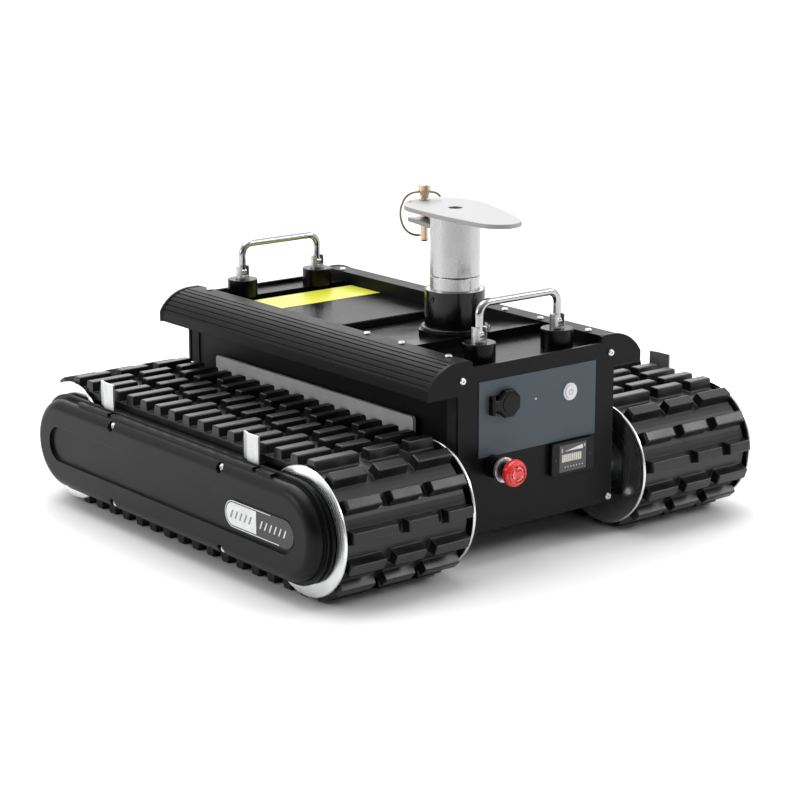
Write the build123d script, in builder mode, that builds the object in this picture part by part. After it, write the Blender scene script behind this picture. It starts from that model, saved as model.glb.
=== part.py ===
from build123d import *
import math
import os

# A tracked trailer mover: two rubber crawler tracks beside a steel chassis that carries
# a battery, two gear motors, a control panel and a mast with a swivelling coupling plate.
# Millimetres. The origin is on the ground under the middle of the machine, +X runs across
# it, +Z is up, and the front end with the control panel faces -Y.

# Track units (X values are distances from the machine's centre plane)
AXLE_Y = 235.0
AXLE_Z = 77.5
CLEAT_TIP_R = 77.5
BELT_OUTER_R = 65.5
BELT_INNER_R = 57.5
BELT_NEAR_X = 134.5
BELT_FAR_X = 296.5
PITCH_R = (BELT_OUTER_R + BELT_INNER_R) / 2
CLEAT_ROWS = 45
CLEAT_ROOT_WIDTH = 15.0
CLEAT_TIP_WIDTH = 12.0
CLEAT_SINK = 1.0
LONG_BLOCK = 60.0
SHORT_BLOCK = 46.0
MIDDLE_BLOCK = 41.0
BLOCK_GAP = 13.0
LONG_ROW_Y = -148.0
GUIDE_RIB_WIDTH = 14.0
GUIDE_RIB_DEPTH = 5.0
DRUM_R = 57.2
DRUM_BORE_R = 45.0
DRUM_WEB = 6.0
FLANGE_R = 71.4
FLANGE_THICKNESS = 3.5
FLANGE_NEAR_X = 126.0
FLANGE_FAR_X = 303.5
HUB_R = 15.0
AXLE_R = 10.0
RUNNING_GAP = 0.05
AXLE_END_X = 319.0

BEAM_NEAR_X = 122.5
BEAM_FAR_X = 304.5
BEAM_HALF_LENGTH = 156.0
STRIP_THICKNESS = 4.0
STRIP_HALF_LENGTH = 193.0
STRIP_TOP_Z = 164.0
STRIP_BOTTOM_Z = 20.0
PLATE_FAR_X = 307.5
TAB_NEAR_X = 307.6
TAB_THICKNESS = 2.4
TAB_Y = 146.0
TAB_WIDTH = 31.0
TAB_TOP_Z = 166.5
TAB_BOTTOM_Z = 106.0

COVER_R = 58.5
COVER_SPAN = 458.0
COVER_LIP_X = 311.5
COVER_BULGE_R = 53.5
COVER_FAR_X = 328.0
COVER_WALL = 3.0
COVER_CAVITY_R = 36.0
COVER_ROUND = 13.0
COVER_SEAT_X = 321.6
POCKET_R = 21.5
POCKET_SPAN = 457.0
LEDGE_HALF_LENGTH = 196.0
LEDGE_FAR_X = 319.0
LEDGE_RISE = 57.0
LEDGE_NOTCH_Y = (-166.0, 126.0)
NOTCH_WIDTH = 7.0
POCKET_DEPTH = 3.5
COVER_SCREW_Y = 111.0
COVER_SCREW_RISE = 46.3
BADGE_R = 16.0
BADGE_Y = -182.4
BADGE_LENGTH = 127.0
BADGE_THICKNESS = 1.2

# Chassis
CHASSIS_HALF_WIDTH = 113.0
CHASSIS_BOTTOM_Z = 39.5
CHASSIS_TOP_Z = 205.0
CHASSIS_WALL = 3.0
CHASSIS_LEDGE = 25.0
END_FACE_Y = 263.0
END_PLATE = 4.0
END_INNER_Y = END_FACE_Y - END_PLATE
END_HALF_WIDTH = 116.0
WING_TIP_X = 158.0
WING_TIP_TOP_Z = 212.4
WING_TIP_BOTTOM_Z = 200.0
WING_TOP_Z = 237.3
WING_INNER_X = 97.5
WING_WALL = 3.0
DECK_HALF_WIDTH = 97.0
DECK_SHEET = 2.5
FLAT_DECK_Z = 225.5
LID_TOP_Z = 222.0
LID_FRONT_Y = 25.0
LID_REAR_Y = 207.0
LID_LIP = 8.4
HINGE_Y = 200.0
HINGE_Z = 216.0
HINGE_PIN_R = 1.8
KNUCKLE_R = 3.2
REAR_DECK_Y = 219.0
POST_DECK_Y = -160.0
POST_DECK_FRONT_Z = 235.5
POST_DECK_REAR_Y = 42.0
POST_DECK_REAR_Z = 210.8

SCREW_HEAD_R = 4.2
SCREW_SHANK_R = 2.3
WING_SCREW_X = 104.0
WING_SCREW_Y = (-232.0, -150.0, -87.0, 232.0)
END_SCREW_X = 110.4
END_SCREW_Z = (216.5, 46.3)

# Mast
POST_Y = -118.0
BASE_APOTHEM = 40.0
SLEEVE_R = 35.0
SLEEVE_TOP_Z = 282.3
SLEEVE_BOTTOM_Z = 122.0
BUSH_R = 33.3
SET_SCREW_R = 4.0
MAST_R = 29.0
MAST_BORE_R = 24.0
SEAM_Z = 298.5
PLATE_TOP_Z = 375.9
PLATE_THICKNESS = 5.0
PLATE_TURN = 11.0
PLATE_HOLE_R = 8.4
LUG_TOP_Z = 354.5
LUG_THICKNESS = 5.0
PIN_AHEAD = 63.7
PIN_ASIDE = 5.8
PIN_R = 4.7
PIN_TIP_Z = 327.5
PIN_TOP_Z = 394.5
RING_AXIS_Z = 385.3
RING_WIRE_R = 1.35
RING_TURN = -38.6
RING_STRAIGHT = 7.8
RING_CORNER_R = 18.5
RING_SIDE_R = 32.5

# Handles
HANDLE_X = 58.0
HANDLE_FRONT_Y = -229.0
HANDLE_REAR_Y = 226.0
HANDLE_ROD_R = 4.6
HANDLE_BAR_Z = 290.5
HANDLE_CORNER_R = 14.0
PIVOT_Z = 256.0
PIVOT_PIN_R = 2.0
PAD_R = 18.7
PAD_TOP_Z = 247.0
CLEVIS_R = 8.6
CLEVIS_TOP_Z = 263.6

# Control panel (X and Z on the front face)
OVERLAY_BOTTOM_Z = 125.5
OVERLAY_TOP_Z = 211.5
OVERLAY_HALF_WIDTH = 87.0
OVERLAY_SHEET = 0.8
STOP_X = -67.5
STOP_Z = 114.2
STOP_HEAD_Y = -295.4
POWER_X = 47.2
POWER_Z = 181.0
LED_X = -4.2
LED_Z = 180.5
LED_R = 1.6
PORT_X = -48.5
PORT_Z = 183.5
PORT_CAP_APOTHEM = 15.4
PORT_HINGE_X = -70.5
PORT_HINGE_Y = -268.8
PORT_PIN_R = 1.2
GAUGE_X = 49.6
GAUGE_Z = 105.2
GAUGE_WIDTH = 65.0
GAUGE_DEPTH = 6.4
GAUGE_HEIGHT = 38.0


def save(part, name):
    """Label one sub-part and write it as its own file."""
    part.label = name
    export_step(part, "parts/" + name + ".step")


def x_span(side, near, far):
    """Lowest X and length of a stretch given by its distances from the centre plane."""
    return min(side * near, side * far), far - near


def stadium(radius):
    """Outline that wraps both track axles at one distance."""
    with BuildSketch(mode=Mode.PRIVATE) as outline:
        SlotCenterToCenter(2 * AXLE_Y, 2 * radius)
    return outline.sketch


def side_plane(x):
    """Sketch plane across the machine at x, with its origin on the line of the axles."""
    return Plane(origin=(x, 0, AXLE_Z), x_dir=(0, 1, 0), z_dir=(1, 0, 0))


def outward_plane(side, x):
    """Sketch plane at distance x that faces away from the machine, with up as its Y."""
    return Plane(origin=(side * x, 0, AXLE_Z), x_dir=(0, side, 0), z_dir=(side, 0, 0))


def front_plane(y):
    """Sketch plane facing the front at y, with X and Z of the machine as its axes."""
    return Plane(origin=(0, y, 0), x_dir=(1, 0, 0), z_dir=(0, -1, 0))


def cleat_spot(travel):
    """Place of a cleat on the belt's loop: axle-plane coordinates and outward angle."""
    straight = 2 * AXLE_Y
    half_turn = math.pi * PITCH_R
    travel = travel % (2 * (straight + half_turn))
    radius = (CLEAT_TIP_R + BELT_OUTER_R - CLEAT_SINK) / 2
    if travel < straight:
        centre, angle = AXLE_Y - travel, 90.0
    elif travel < straight + half_turn:
        centre, angle = -AXLE_Y, 90.0 + math.degrees((travel - straight) / PITCH_R)
    elif travel < 2 * straight + half_turn:
        centre, angle = travel - straight - half_turn - AXLE_Y, 270.0
    else:
        centre = AXLE_Y
        angle = 270.0 + math.degrees((travel - 2 * straight - half_turn) / PITCH_R)
    across = centre + radius * math.cos(math.radians(angle))
    up = radius * math.sin(math.radians(angle))
    return Location((across, up, 0), (0, 0, angle - 90.0))


def cleat_spots(rows):
    """Places of the numbered rows, counted from the long row at LONG_ROW_Y."""
    pitch = (4 * AXLE_Y + 2 * math.pi * PITCH_R) / CLEAT_ROWS
    return [cleat_spot(AXLE_Y - LONG_ROW_Y + row * pitch) for row in rows]


def make_belt(side, name):
    """Rubber track: a loop with an inner guide rib and rows of three cleat blocks."""
    start, width = x_span(side, BELT_NEAR_X, BELT_FAR_X)
    height = CLEAT_TIP_R - BELT_OUTER_R + CLEAT_SINK
    slope = math.degrees(math.atan2(height, (CLEAT_ROOT_WIDTH - CLEAT_TIP_WIDTH) / 2))
    long_rows = range(0, CLEAT_ROWS, 3)
    short_rows = [row for row in range(CLEAT_ROWS) if row % 3]
    with BuildPart() as belt:
        with BuildSketch(side_plane(start)):
            add(stadium(BELT_OUTER_R))
            add(stadium(BELT_INNER_R), mode=Mode.SUBTRACT)
        extrude(amount=width)
        with BuildSketch(side_plane(start + (width - GUIDE_RIB_WIDTH) / 2)):
            add(stadium(BELT_INNER_R + 1))
            add(stadium(BELT_INNER_R - GUIDE_RIB_DEPTH), mode=Mode.SUBTRACT)
        extrude(amount=GUIDE_RIB_WIDTH)
        for rows, first in ((long_rows, LONG_BLOCK), (short_rows, SHORT_BLOCK)):
            middle = first + BLOCK_GAP
            last = middle + MIDDLE_BLOCK + BLOCK_GAP
            blocks = ((0, first), (middle, MIDDLE_BLOCK), (last, width - last))
            for offset_x, length in blocks:
                with BuildSketch(side_plane(start + offset_x)):
                    with Locations(*cleat_spots(rows)):
                        Trapezoid(CLEAT_ROOT_WIDTH, height, slope)
                extrude(amount=length)
    save(belt.part, name)


def make_drum(side, y, name):
    """Hollow drum that carries the belt, with a groove for the belt's guide rib."""
    middle = (BELT_NEAR_X + BELT_FAR_X) / 2
    half = (BELT_FAR_X - BELT_NEAR_X) / 2 - 0.5
    groove_half = GUIDE_RIB_WIDTH / 2 + 1
    groove_r = BELT_INNER_R - GUIDE_RIB_DEPTH - 0.5
    with BuildPart() as drum:
        with BuildSketch(Plane(origin=(side * middle, y, AXLE_Z), x_dir=(1, 0, 0),
                               z_dir=(0, -1, 0))):
            with Locations((0, (AXLE_R + DRUM_R) / 2)):
                Rectangle(2 * half, DRUM_R - AXLE_R)
            with Locations((0, (AXLE_R + DRUM_BORE_R) / 2)):
                Rectangle(2 * (half - DRUM_WEB), DRUM_BORE_R - AXLE_R, mode=Mode.SUBTRACT)
            with Locations((0, groove_r + DRUM_R / 2)):
                Rectangle(2 * groove_half, DRUM_R, mode=Mode.SUBTRACT)
        revolve(axis=Axis((side * middle, y, AXLE_Z), (1, 0, 0)))
    save(drum.part, name)


def make_axle(side, y, near, name):
    """Steel axle of one drum with the two guide discs and hubs that turn with it."""
    spans = ((near, AXLE_END_X, AXLE_R),
             (FLANGE_NEAR_X, FLANGE_NEAR_X + FLANGE_THICKNESS, FLANGE_R),
             (FLANGE_FAR_X - FLANGE_THICKNESS, FLANGE_FAR_X, FLANGE_R),
             (FLANGE_NEAR_X - 5, BELT_NEAR_X + 0.5, HUB_R),
             (BELT_FAR_X - 0.5, FLANGE_FAR_X, HUB_R))
    with BuildPart() as axle:
        for low, high, radius in spans:
            start, length = x_span(side, low, high)
            with BuildSketch(side_plane(start)):
                with Locations((y, 0)):
                    Circle(radius)
            extrude(amount=length)
        rims = axle.edges().filter_by(GeomType.CIRCLE)
        chamfer([edge for edge in rims if abs(edge.radius - FLANGE_R) < 0.01], length=0.8)
    save(axle.part, name)


def make_slider_beds():
    """Two box beds between the drums that hold the runs of the belts apart."""
    with BuildPart() as beds:
        for side in (-1, 1):
            start, length = x_span(side, BEAM_NEAR_X, BEAM_FAR_X)
            with BuildSketch(side_plane(start)):
                Rectangle(2 * BEAM_HALF_LENGTH, 2 * DRUM_R)
                Rectangle(2 * BEAM_HALF_LENGTH - 12, 2 * DRUM_R - 24, mode=Mode.SUBTRACT)
            extrude(amount=length)
            middle = side * (BELT_NEAR_X + BELT_FAR_X) / 2
            with Locations((middle, 0, AXLE_Z + DRUM_R), (middle, 0, AXLE_Z - DRUM_R)):
                Box(GUIDE_RIB_WIDTH + 2, 2 * AXLE_Y, 2 * (GUIDE_RIB_DEPTH + 0.5),
                    mode=Mode.SUBTRACT)
    save(beds.part, "slider_beds")


def make_guard_strips():
    """Two guard plates at the tracks' inner edges, on spacers from the chassis walls."""
    height = STRIP_TOP_Z - STRIP_BOTTOM_Z
    with BuildPart() as strips:
        for side in (-1, 1):
            start, length = x_span(side, BEAM_NEAR_X - STRIP_THICKNESS, BEAM_NEAR_X)
            with BuildSketch(side_plane(start)):
                with Locations((0, (STRIP_TOP_Z + STRIP_BOTTOM_Z) / 2 - AXLE_Z)):
                    RectangleRounded(2 * STRIP_HALF_LENGTH, height, 4)
            extrude(amount=length)
            start, length = x_span(side, CHASSIS_HALF_WIDTH, BEAM_NEAR_X - STRIP_THICKNESS)
            with BuildSketch(side_plane(start)):
                with GridLocations(240, 60, 2, 2):
                    Circle(9)
            extrude(amount=length)
    save(strips.part, "guard_strips")


def make_frame_plates():
    """Two outer frame plates with the housings of the outer axle bearings."""
    with BuildPart() as plates:
        for side in (-1, 1):
            start, length = x_span(side, BEAM_FAR_X, PLATE_FAR_X)
            hub_start, hub_length = x_span(side, BEAM_FAR_X, AXLE_END_X - 1)
            with BuildSketch(side_plane(start)):
                add(stadium(COVER_R - 2.5))
            extrude(amount=length)
            with BuildSketch(side_plane(hub_start)):
                with Locations((AXLE_Y, 0), (-AXLE_Y, 0)):
                    Circle(26)
            extrude(amount=hub_length)
            with BuildSketch(side_plane(hub_start)):
                with Locations((AXLE_Y, 0), (-AXLE_Y, 0)):
                    Circle(AXLE_R + RUNNING_GAP)
            extrude(amount=hub_length, mode=Mode.SUBTRACT)
    save(plates.part, "frame_plates")


def make_guide_tabs():
    """Four bent guide tabs that stand above the covers, two on each side."""
    bend_z = AXLE_Z + COVER_R + 1
    with BuildPart() as tabs:
        for side in (-1, 1):
            near = side * TAB_NEAR_X
            far = side * (TAB_NEAR_X + TAB_THICKNESS)
            lean = -side * 3.0
            for y in (-TAB_Y, TAB_Y):
                front = y - TAB_WIDTH / 2
                crease = y + TAB_WIDTH / 6
                rear = y + TAB_WIDTH / 2
                with BuildSketch(Plane.XY.offset(bend_z)):
                    with BuildLine():
                        Polyline((near, front), (near, crease), (near + lean, rear),
                                 (far + lean, rear), (far, crease), (far, front), close=True)
                    make_face()
                extrude(amount=TAB_TOP_Z - bend_z)
                with BuildSketch(Plane.XY.offset(TAB_BOTTOM_Z)):
                    with Locations(((near + far) / 2, (front + crease) / 2)):
                        Rectangle(TAB_THICKNESS, crease - front)
                extrude(amount=bend_z - TAB_BOTTOM_Z)
    save(tabs.part, "guide_tabs")


def pill(span, radius):
    """Outline with round ends whose centres are one span apart."""
    with BuildSketch(mode=Mode.PRIVATE) as outline:
        SlotCenterToCenter(span, 2 * radius)
    return outline.sketch


def make_cover(side, name):
    """Hollow side fairing with a lip, a rounded bulge, a top ledge and a long flat pocket."""
    out = outward_plane(side, PLATE_FAR_X)
    lip = COVER_LIP_X - PLATE_FAR_X
    depth = COVER_FAR_X - PLATE_FAR_X
    seat = COVER_SEAT_X - PLATE_FAR_X
    notch_r = SCREW_HEAD_R + 1.6
    screw_spots = [(y, z) for y in (-COVER_SCREW_Y, COVER_SCREW_Y)
                   for z in (-COVER_SCREW_RISE, COVER_SCREW_RISE)]
    with BuildPart() as cover:
        with BuildSketch(out.offset(lip)):
            add(pill(COVER_SPAN, COVER_BULGE_R))
        extrude(amount=depth - lip)
        fillet(cover.faces().sort_by(Axis.X)[-1 if side > 0 else 0].edges(), COVER_ROUND)
        with BuildSketch(out):
            add(pill(COVER_SPAN, COVER_R))
        extrude(amount=lip)
        with BuildSketch(out):
            with Locations((0, LEDGE_RISE - 10)):
                Rectangle(2 * LEDGE_HALF_LENGTH, 20)
            with Locations(*[(side * y, LEDGE_RISE) for y in LEDGE_NOTCH_Y]):
                Rectangle(NOTCH_WIDTH, 12, mode=Mode.SUBTRACT)
        extrude(amount=LEDGE_FAR_X - PLATE_FAR_X)
        with BuildSketch(out):
            add(pill(COVER_SPAN, COVER_CAVITY_R))
        extrude(amount=depth - POCKET_DEPTH - COVER_WALL, mode=Mode.SUBTRACT)
        with BuildSketch(out.offset(depth)):
            add(pill(POCKET_SPAN, POCKET_R))
        extrude(amount=-POCKET_DEPTH, mode=Mode.SUBTRACT)
        with BuildSketch(out):
            with Locations((-TAB_Y, COVER_R), (TAB_Y, COVER_R)):
                Rectangle(TAB_WIDTH + 1, 62)
        extrude(amount=TAB_THICKNESS + 0.4, mode=Mode.SUBTRACT)
        with BuildSketch(out.offset(seat)):
            with Locations(*screw_spots):
                Circle(notch_r)
            for y, z in screw_spots:
                with Locations((y, z * 1.25)):
                    Rectangle(2 * notch_r, abs(z) / 2)
        extrude(amount=depth, mode=Mode.SUBTRACT)
        with BuildSketch(out):
            with Locations(*screw_spots):
                Circle(SCREW_SHANK_R + 0.1)
        extrude(amount=depth, mode=Mode.SUBTRACT)
    save(cover.part, name)


def make_badges():
    """Blank pill plates, one in the pocket of each cover near its front end."""
    with BuildPart() as badges:
        for side in (-1, 1):
            with BuildSketch(outward_plane(side, COVER_FAR_X - POCKET_DEPTH)):
                with Locations((side * BADGE_Y, 0)):
                    SlotOverall(BADGE_LENGTH, 2 * BADGE_R)
            extrude(amount=BADGE_THICKNESS)
    save(badges.part, "cover_badges")


def button_screw(shank):
    """Button-head screw with a hex socket, standing on the origin with its head up."""
    with BuildPart() as screw:
        with BuildSketch(Plane.XY):
            Circle(SCREW_HEAD_R)
        extrude(amount=1.2)
        with BuildSketch(Plane.XY.offset(1.2)):
            Circle(SCREW_HEAD_R)
        extrude(amount=1.4, taper=38)
        with BuildSketch(Plane.XY):
            Circle(SCREW_SHANK_R)
        extrude(amount=-shank)
        with BuildSketch(Plane.XY.offset(2.6)):
            RegularPolygon(1.7, 6)
        extrude(amount=-1.8, mode=Mode.SUBTRACT)
    return screw.part


def make_cover_screws():
    """Eight screws in the notches of the covers."""
    seats = []
    for side in (-1, 1):
        plane = outward_plane(side, COVER_SEAT_X)
        for y in (-COVER_SCREW_Y, COVER_SCREW_Y):
            for rise in (-COVER_SCREW_RISE, COVER_SCREW_RISE):
                seats.append(Plane(plane.from_local_coords(Vector(y, rise, 0)),
                                   z_dir=plane.z_dir))
    with BuildPart() as screws:
        with Locations(*seats):
            add(button_screw(COVER_SEAT_X - PLATE_FAR_X - 0.2))
    save(screws.part, "cover_screws")


def make_chassis_screws():
    """Screws along the tops of the wings and at the corners of both end plates."""
    seats = []
    for x in (-WING_SCREW_X, WING_SCREW_X):
        for y in WING_SCREW_Y:
            seats.append(Plane((x, y, WING_TOP_Z)))
    for x in (-END_SCREW_X, END_SCREW_X):
        for z in END_SCREW_Z:
            seats.append(Plane((x, -END_FACE_Y, z), z_dir=(0, -1, 0)))
            seats.append(Plane((x, END_FACE_Y, z), z_dir=(0, 1, 0)))
    with BuildPart() as screws:
        with Locations(*seats):
            add(button_screw(WING_WALL))
    save(screws.part, "chassis_screws")


def make_shell():
    """Chassis channel with inward ledges and the holes of the inner axle bearings."""
    height = CHASSIS_TOP_Z - CHASSIS_BOTTOM_Z
    middle = (CHASSIS_TOP_Z + CHASSIS_BOTTOM_Z) / 2
    with BuildPart() as shell:
        with BuildSketch(front_plane(END_INNER_Y)):
            with Locations((0, middle)):
                Rectangle(2 * CHASSIS_HALF_WIDTH, height)
                Rectangle(2 * (CHASSIS_HALF_WIDTH - CHASSIS_WALL), height - 2 * CHASSIS_WALL,
                          mode=Mode.SUBTRACT)
            with Locations((0, CHASSIS_TOP_Z)):
                Rectangle(2 * (CHASSIS_HALF_WIDTH - CHASSIS_LEDGE), 3 * CHASSIS_WALL,
                          mode=Mode.SUBTRACT)
        extrude(amount=2 * END_INNER_Y)
        with BuildSketch(side_plane(-CHASSIS_HALF_WIDTH)):
            with Locations((-AXLE_Y, 0), (AXLE_Y, 0)):
                Circle(20.1)
        extrude(amount=2 * CHASSIS_HALF_WIDTH, mode=Mode.SUBTRACT)
    save(shell.part, "chassis_shell")


def end_plate_outline():
    """Outline shared by both end plates: a body with two curved shoulders."""
    with BuildSketch(mode=Mode.PRIVATE) as outline:
        with BuildLine() as half:
            Polyline((0, CHASSIS_BOTTOM_Z), (END_HALF_WIDTH, CHASSIS_BOTTOM_Z),
                     (END_HALF_WIDTH, WING_TIP_BOTTOM_Z), (WING_TIP_X, WING_TIP_BOTTOM_Z),
                     (WING_TIP_X, WING_TIP_TOP_Z))
            ThreePointArc((WING_TIP_X, WING_TIP_TOP_Z), (140.5, 230.5), (112.5, 238.0))
            Polyline((112.5, 238.0), (100.5, 238.0), (97.0, 236.5), (95.5, 229.5), (0, 229.5))
            mirror(half.line, about=Plane.YZ)
        make_face()
    return outline.sketch


def make_front_plate():
    """Front end plate with cut-outs for the controls that are mounted in it."""
    with BuildPart() as plate:
        with BuildSketch(front_plane(-END_INNER_Y)):
            add(end_plate_outline())
            with Locations((STOP_X, STOP_Z)):
                Circle(11.1, mode=Mode.SUBTRACT)
            with Locations((POWER_X, POWER_Z)):
                Circle(9.1, mode=Mode.SUBTRACT)
            with Locations((PORT_X, PORT_Z)):
                Circle(14.1, mode=Mode.SUBTRACT)
            with Locations((LED_X, LED_Z)):
                Circle(LED_R + 0.1, mode=Mode.SUBTRACT)
            with Locations((GAUGE_X, GAUGE_Z)):
                Rectangle(46, 26, mode=Mode.SUBTRACT)
            for z in END_SCREW_Z:
                with Locations((END_SCREW_X, z), (-END_SCREW_X, z)):
                    Circle(SCREW_SHANK_R + 0.1, mode=Mode.SUBTRACT)
        extrude(amount=END_PLATE)
    save(plate.part, "front_plate")


def make_rear_plate():
    """Plain rear end plate."""
    with BuildPart() as plate:
        with BuildSketch(front_plane(END_FACE_Y)):
            add(end_plate_outline())
            for z in END_SCREW_Z:
                with Locations((END_SCREW_X, z), (-END_SCREW_X, z)):
                    Circle(SCREW_SHANK_R + 0.1, mode=Mode.SUBTRACT)
        extrude(amount=END_PLATE)
    save(plate.part, "rear_plate")


def make_wing(side, name):
    """Hollow shoulder extrusion with long grooves over its rounded top."""
    def at(x, z):
        return (side * x, z)

    with BuildPart() as wing:
        with BuildSketch(front_plane(END_INNER_Y)):
            with BuildLine():
                Line(at(WING_INNER_X, WING_TOP_Z), at(112, WING_TOP_Z))
                crown = ThreePointArc(at(112, WING_TOP_Z), at(140, 229.8),
                                      at(WING_TIP_X - 0.7, WING_TIP_TOP_Z))
                Polyline(at(WING_TIP_X - 0.7, WING_TIP_TOP_Z), at(WING_TIP_X - 0.7, 200.6),
                         at(113.2, 200.6), at(113.2, 205.1), at(WING_INNER_X, 205.1),
                         at(WING_INNER_X, WING_TOP_Z))
            make_face()
            offset(amount=-WING_WALL, mode=Mode.SUBTRACT)
            grooves = [crown @ (0.16 + 0.13 * step) for step in range(7)]
            with Locations(*grooves):
                Circle(1.1, mode=Mode.SUBTRACT)
        extrude(amount=2 * END_INNER_Y)
        with BuildSketch(Plane.XY.offset(WING_TOP_Z)):
            with Locations(*[(side * WING_SCREW_X, y) for y in WING_SCREW_Y]):
                Circle(SCREW_SHANK_R + 0.1)
        extrude(amount=-WING_WALL - 1, mode=Mode.SUBTRACT)
    save(wing.part, name)


def make_flat_deck(front, rear, name):
    """Flat end deck: a sheet with two down-turned flanges that stand on the ledges."""
    height = FLAT_DECK_Z - CHASSIS_TOP_Z
    with BuildPart() as deck:
        with BuildSketch(Plane.YZ.offset(-DECK_HALF_WIDTH)):
            with Locations(((front + rear) / 2, FLAT_DECK_Z - height / 2)):
                Rectangle(rear - front, height)
                with Locations((0, -DECK_SHEET)):
                    Rectangle(rear - front - 2 * DECK_SHEET, height, mode=Mode.SUBTRACT)
        extrude(amount=2 * DECK_HALF_WIDTH)
        with Locations((0, (front + rear) / 2, CHASSIS_TOP_Z - 1)):
            Box(2 * (DECK_HALF_WIDTH - 30), rear - front, 24, mode=Mode.SUBTRACT)
    save(deck.part, name)


def post_deck_z(y):
    """Height of the sloping deck's top surface."""
    slope = (POST_DECK_REAR_Z - POST_DECK_FRONT_Z) / (POST_DECK_REAR_Y - POST_DECK_Y)
    return POST_DECK_FRONT_Z + (y - POST_DECK_Y) * slope


def make_post_deck():
    """Sloping deck around the mast, with a front lip and a rear leg."""
    with BuildPart() as deck:
        with BuildSketch(Plane.YZ.offset(-DECK_HALF_WIDTH)):
            with BuildLine():
                Polyline((POST_DECK_Y, FLAT_DECK_Z + 0.1), (POST_DECK_Y, POST_DECK_FRONT_Z),
                         (POST_DECK_REAR_Y, POST_DECK_REAR_Z), (POST_DECK_REAR_Y, CHASSIS_TOP_Z),
                         (POST_DECK_REAR_Y - 3, CHASSIS_TOP_Z),
                         (POST_DECK_REAR_Y - 3, POST_DECK_REAR_Z - 2.5),
                         (POST_DECK_Y + 3, POST_DECK_FRONT_Z - 3.4),
                         (POST_DECK_Y + 3, FLAT_DECK_Z + 0.1), close=True)
            make_face()
        extrude(amount=2 * DECK_HALF_WIDTH)
        with BuildSketch(Plane.XY.offset(CHASSIS_TOP_Z)):
            with Locations((0, POST_Y)):
                Circle(SLEEVE_R + 0.2)
        extrude(amount=60, mode=Mode.SUBTRACT)
    save(deck.part, "post_deck")


def make_sleeve():
    """Outer mast tube, welded into an eight-sided foot that follows the sloping deck."""
    foot_top = 236.2
    with BuildPart() as sleeve:
        with BuildSketch(Plane.XY.offset(215)):
            with Locations((0, POST_Y)):
                RegularPolygon(BASE_APOTHEM, 8, major_radius=False, rotation=22.5)
        extrude(amount=foot_top - 215)
        with BuildSketch(Plane.YZ.offset(-60)):
            with BuildLine():
                Polyline((POST_Y - 60, post_deck_z(POST_Y - 60)),
                         (POST_Y + 60, post_deck_z(POST_Y + 60)),
                         (POST_Y + 60, 200), (POST_Y - 60, 200), close=True)
            make_face()
        extrude(amount=120, mode=Mode.SUBTRACT)
        with BuildSketch(Plane.XY.offset(foot_top)):
            with Locations((0, POST_Y)):
                Circle(SLEEVE_R + 4)
        extrude(amount=2.6, taper=40)
        with BuildSketch(Plane.XY.offset(SLEEVE_BOTTOM_Z)):
            with Locations((0, POST_Y)):
                Circle(SLEEVE_R)
        extrude(amount=SLEEVE_TOP_Z - SLEEVE_BOTTOM_Z)
        with BuildSketch(Plane.XY.offset(SLEEVE_BOTTOM_Z)):
            with Locations((0, POST_Y)):
                Circle(MAST_R + RUNNING_GAP)
        extrude(amount=SLEEVE_TOP_Z - SLEEVE_BOTTOM_Z, mode=Mode.SUBTRACT)
        with BuildSketch(Plane.XY.offset(SLEEVE_TOP_Z)):
            with Locations((0, POST_Y)):
                Circle(BUSH_R)
        extrude(amount=-4, mode=Mode.SUBTRACT)
        for turn in (0, 90, 180, 270):
            with BuildSketch(set_screw_plane(turn)):
                Circle(SET_SCREW_R + 0.05)
            extrude(amount=-4.5, mode=Mode.SUBTRACT)
    save(sleeve.part, "post_sleeve")


def set_screw_plane(turn):
    """Plane that touches the sleeve's outside where one set screw sits."""
    angle = math.radians(turn)
    outward = (math.cos(angle), math.sin(angle), 0)
    origin = (SLEEVE_R * outward[0], POST_Y + SLEEVE_R * outward[1], 273.0)
    return Plane(origin=origin, x_dir=(0, 0, 1), z_dir=outward)


def make_set_screws():
    """Four slotted set screws that clamp the mast tube at its height."""
    with BuildPart() as screws:
        for turn in (0, 90, 180, 270):
            with BuildSketch(set_screw_plane(turn).offset(-4.5)):
                Circle(SET_SCREW_R)
            extrude(amount=5.3)
            with BuildSketch(set_screw_plane(turn).offset(0.8)):
                Rectangle(1.2, 6.5, rotation=40)
            extrude(amount=-1.2, mode=Mode.SUBTRACT)
    save(screws.part, "sleeve_set_screws")


def make_bush():
    """Bright ring bush in the mouth of the sleeve."""
    with BuildPart() as bush:
        with BuildSketch(Plane.XY.offset(SLEEVE_TOP_Z - 4)):
            with Locations((0, POST_Y)):
                Circle(BUSH_R)
                Circle(MAST_R + RUNNING_GAP, mode=Mode.SUBTRACT)
        extrude(amount=3.9)
        chamfer(bush.edges().group_by(Axis.Z)[-1], length=0.5)
    save(bush.part, "mast_bush")


def make_mast_tube():
    """Lower mast tube that slides in the sleeve and carries the turret."""
    with BuildPart() as tube:
        with BuildSketch(Plane.XY.offset(SLEEVE_BOTTOM_Z + 8)):
            with Locations((0, POST_Y)):
                Circle(MAST_R)
                Circle(MAST_BORE_R, mode=Mode.SUBTRACT)
        extrude(amount=SEAM_Z - 0.3 - SLEEVE_BOTTOM_Z - 8)
        chamfer(tube.edges().group_by(Axis.Z)[-1].sort_by(SortBy.RADIUS)[-1], length=0.8)
    save(tube.part, "mast_tube")


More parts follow.
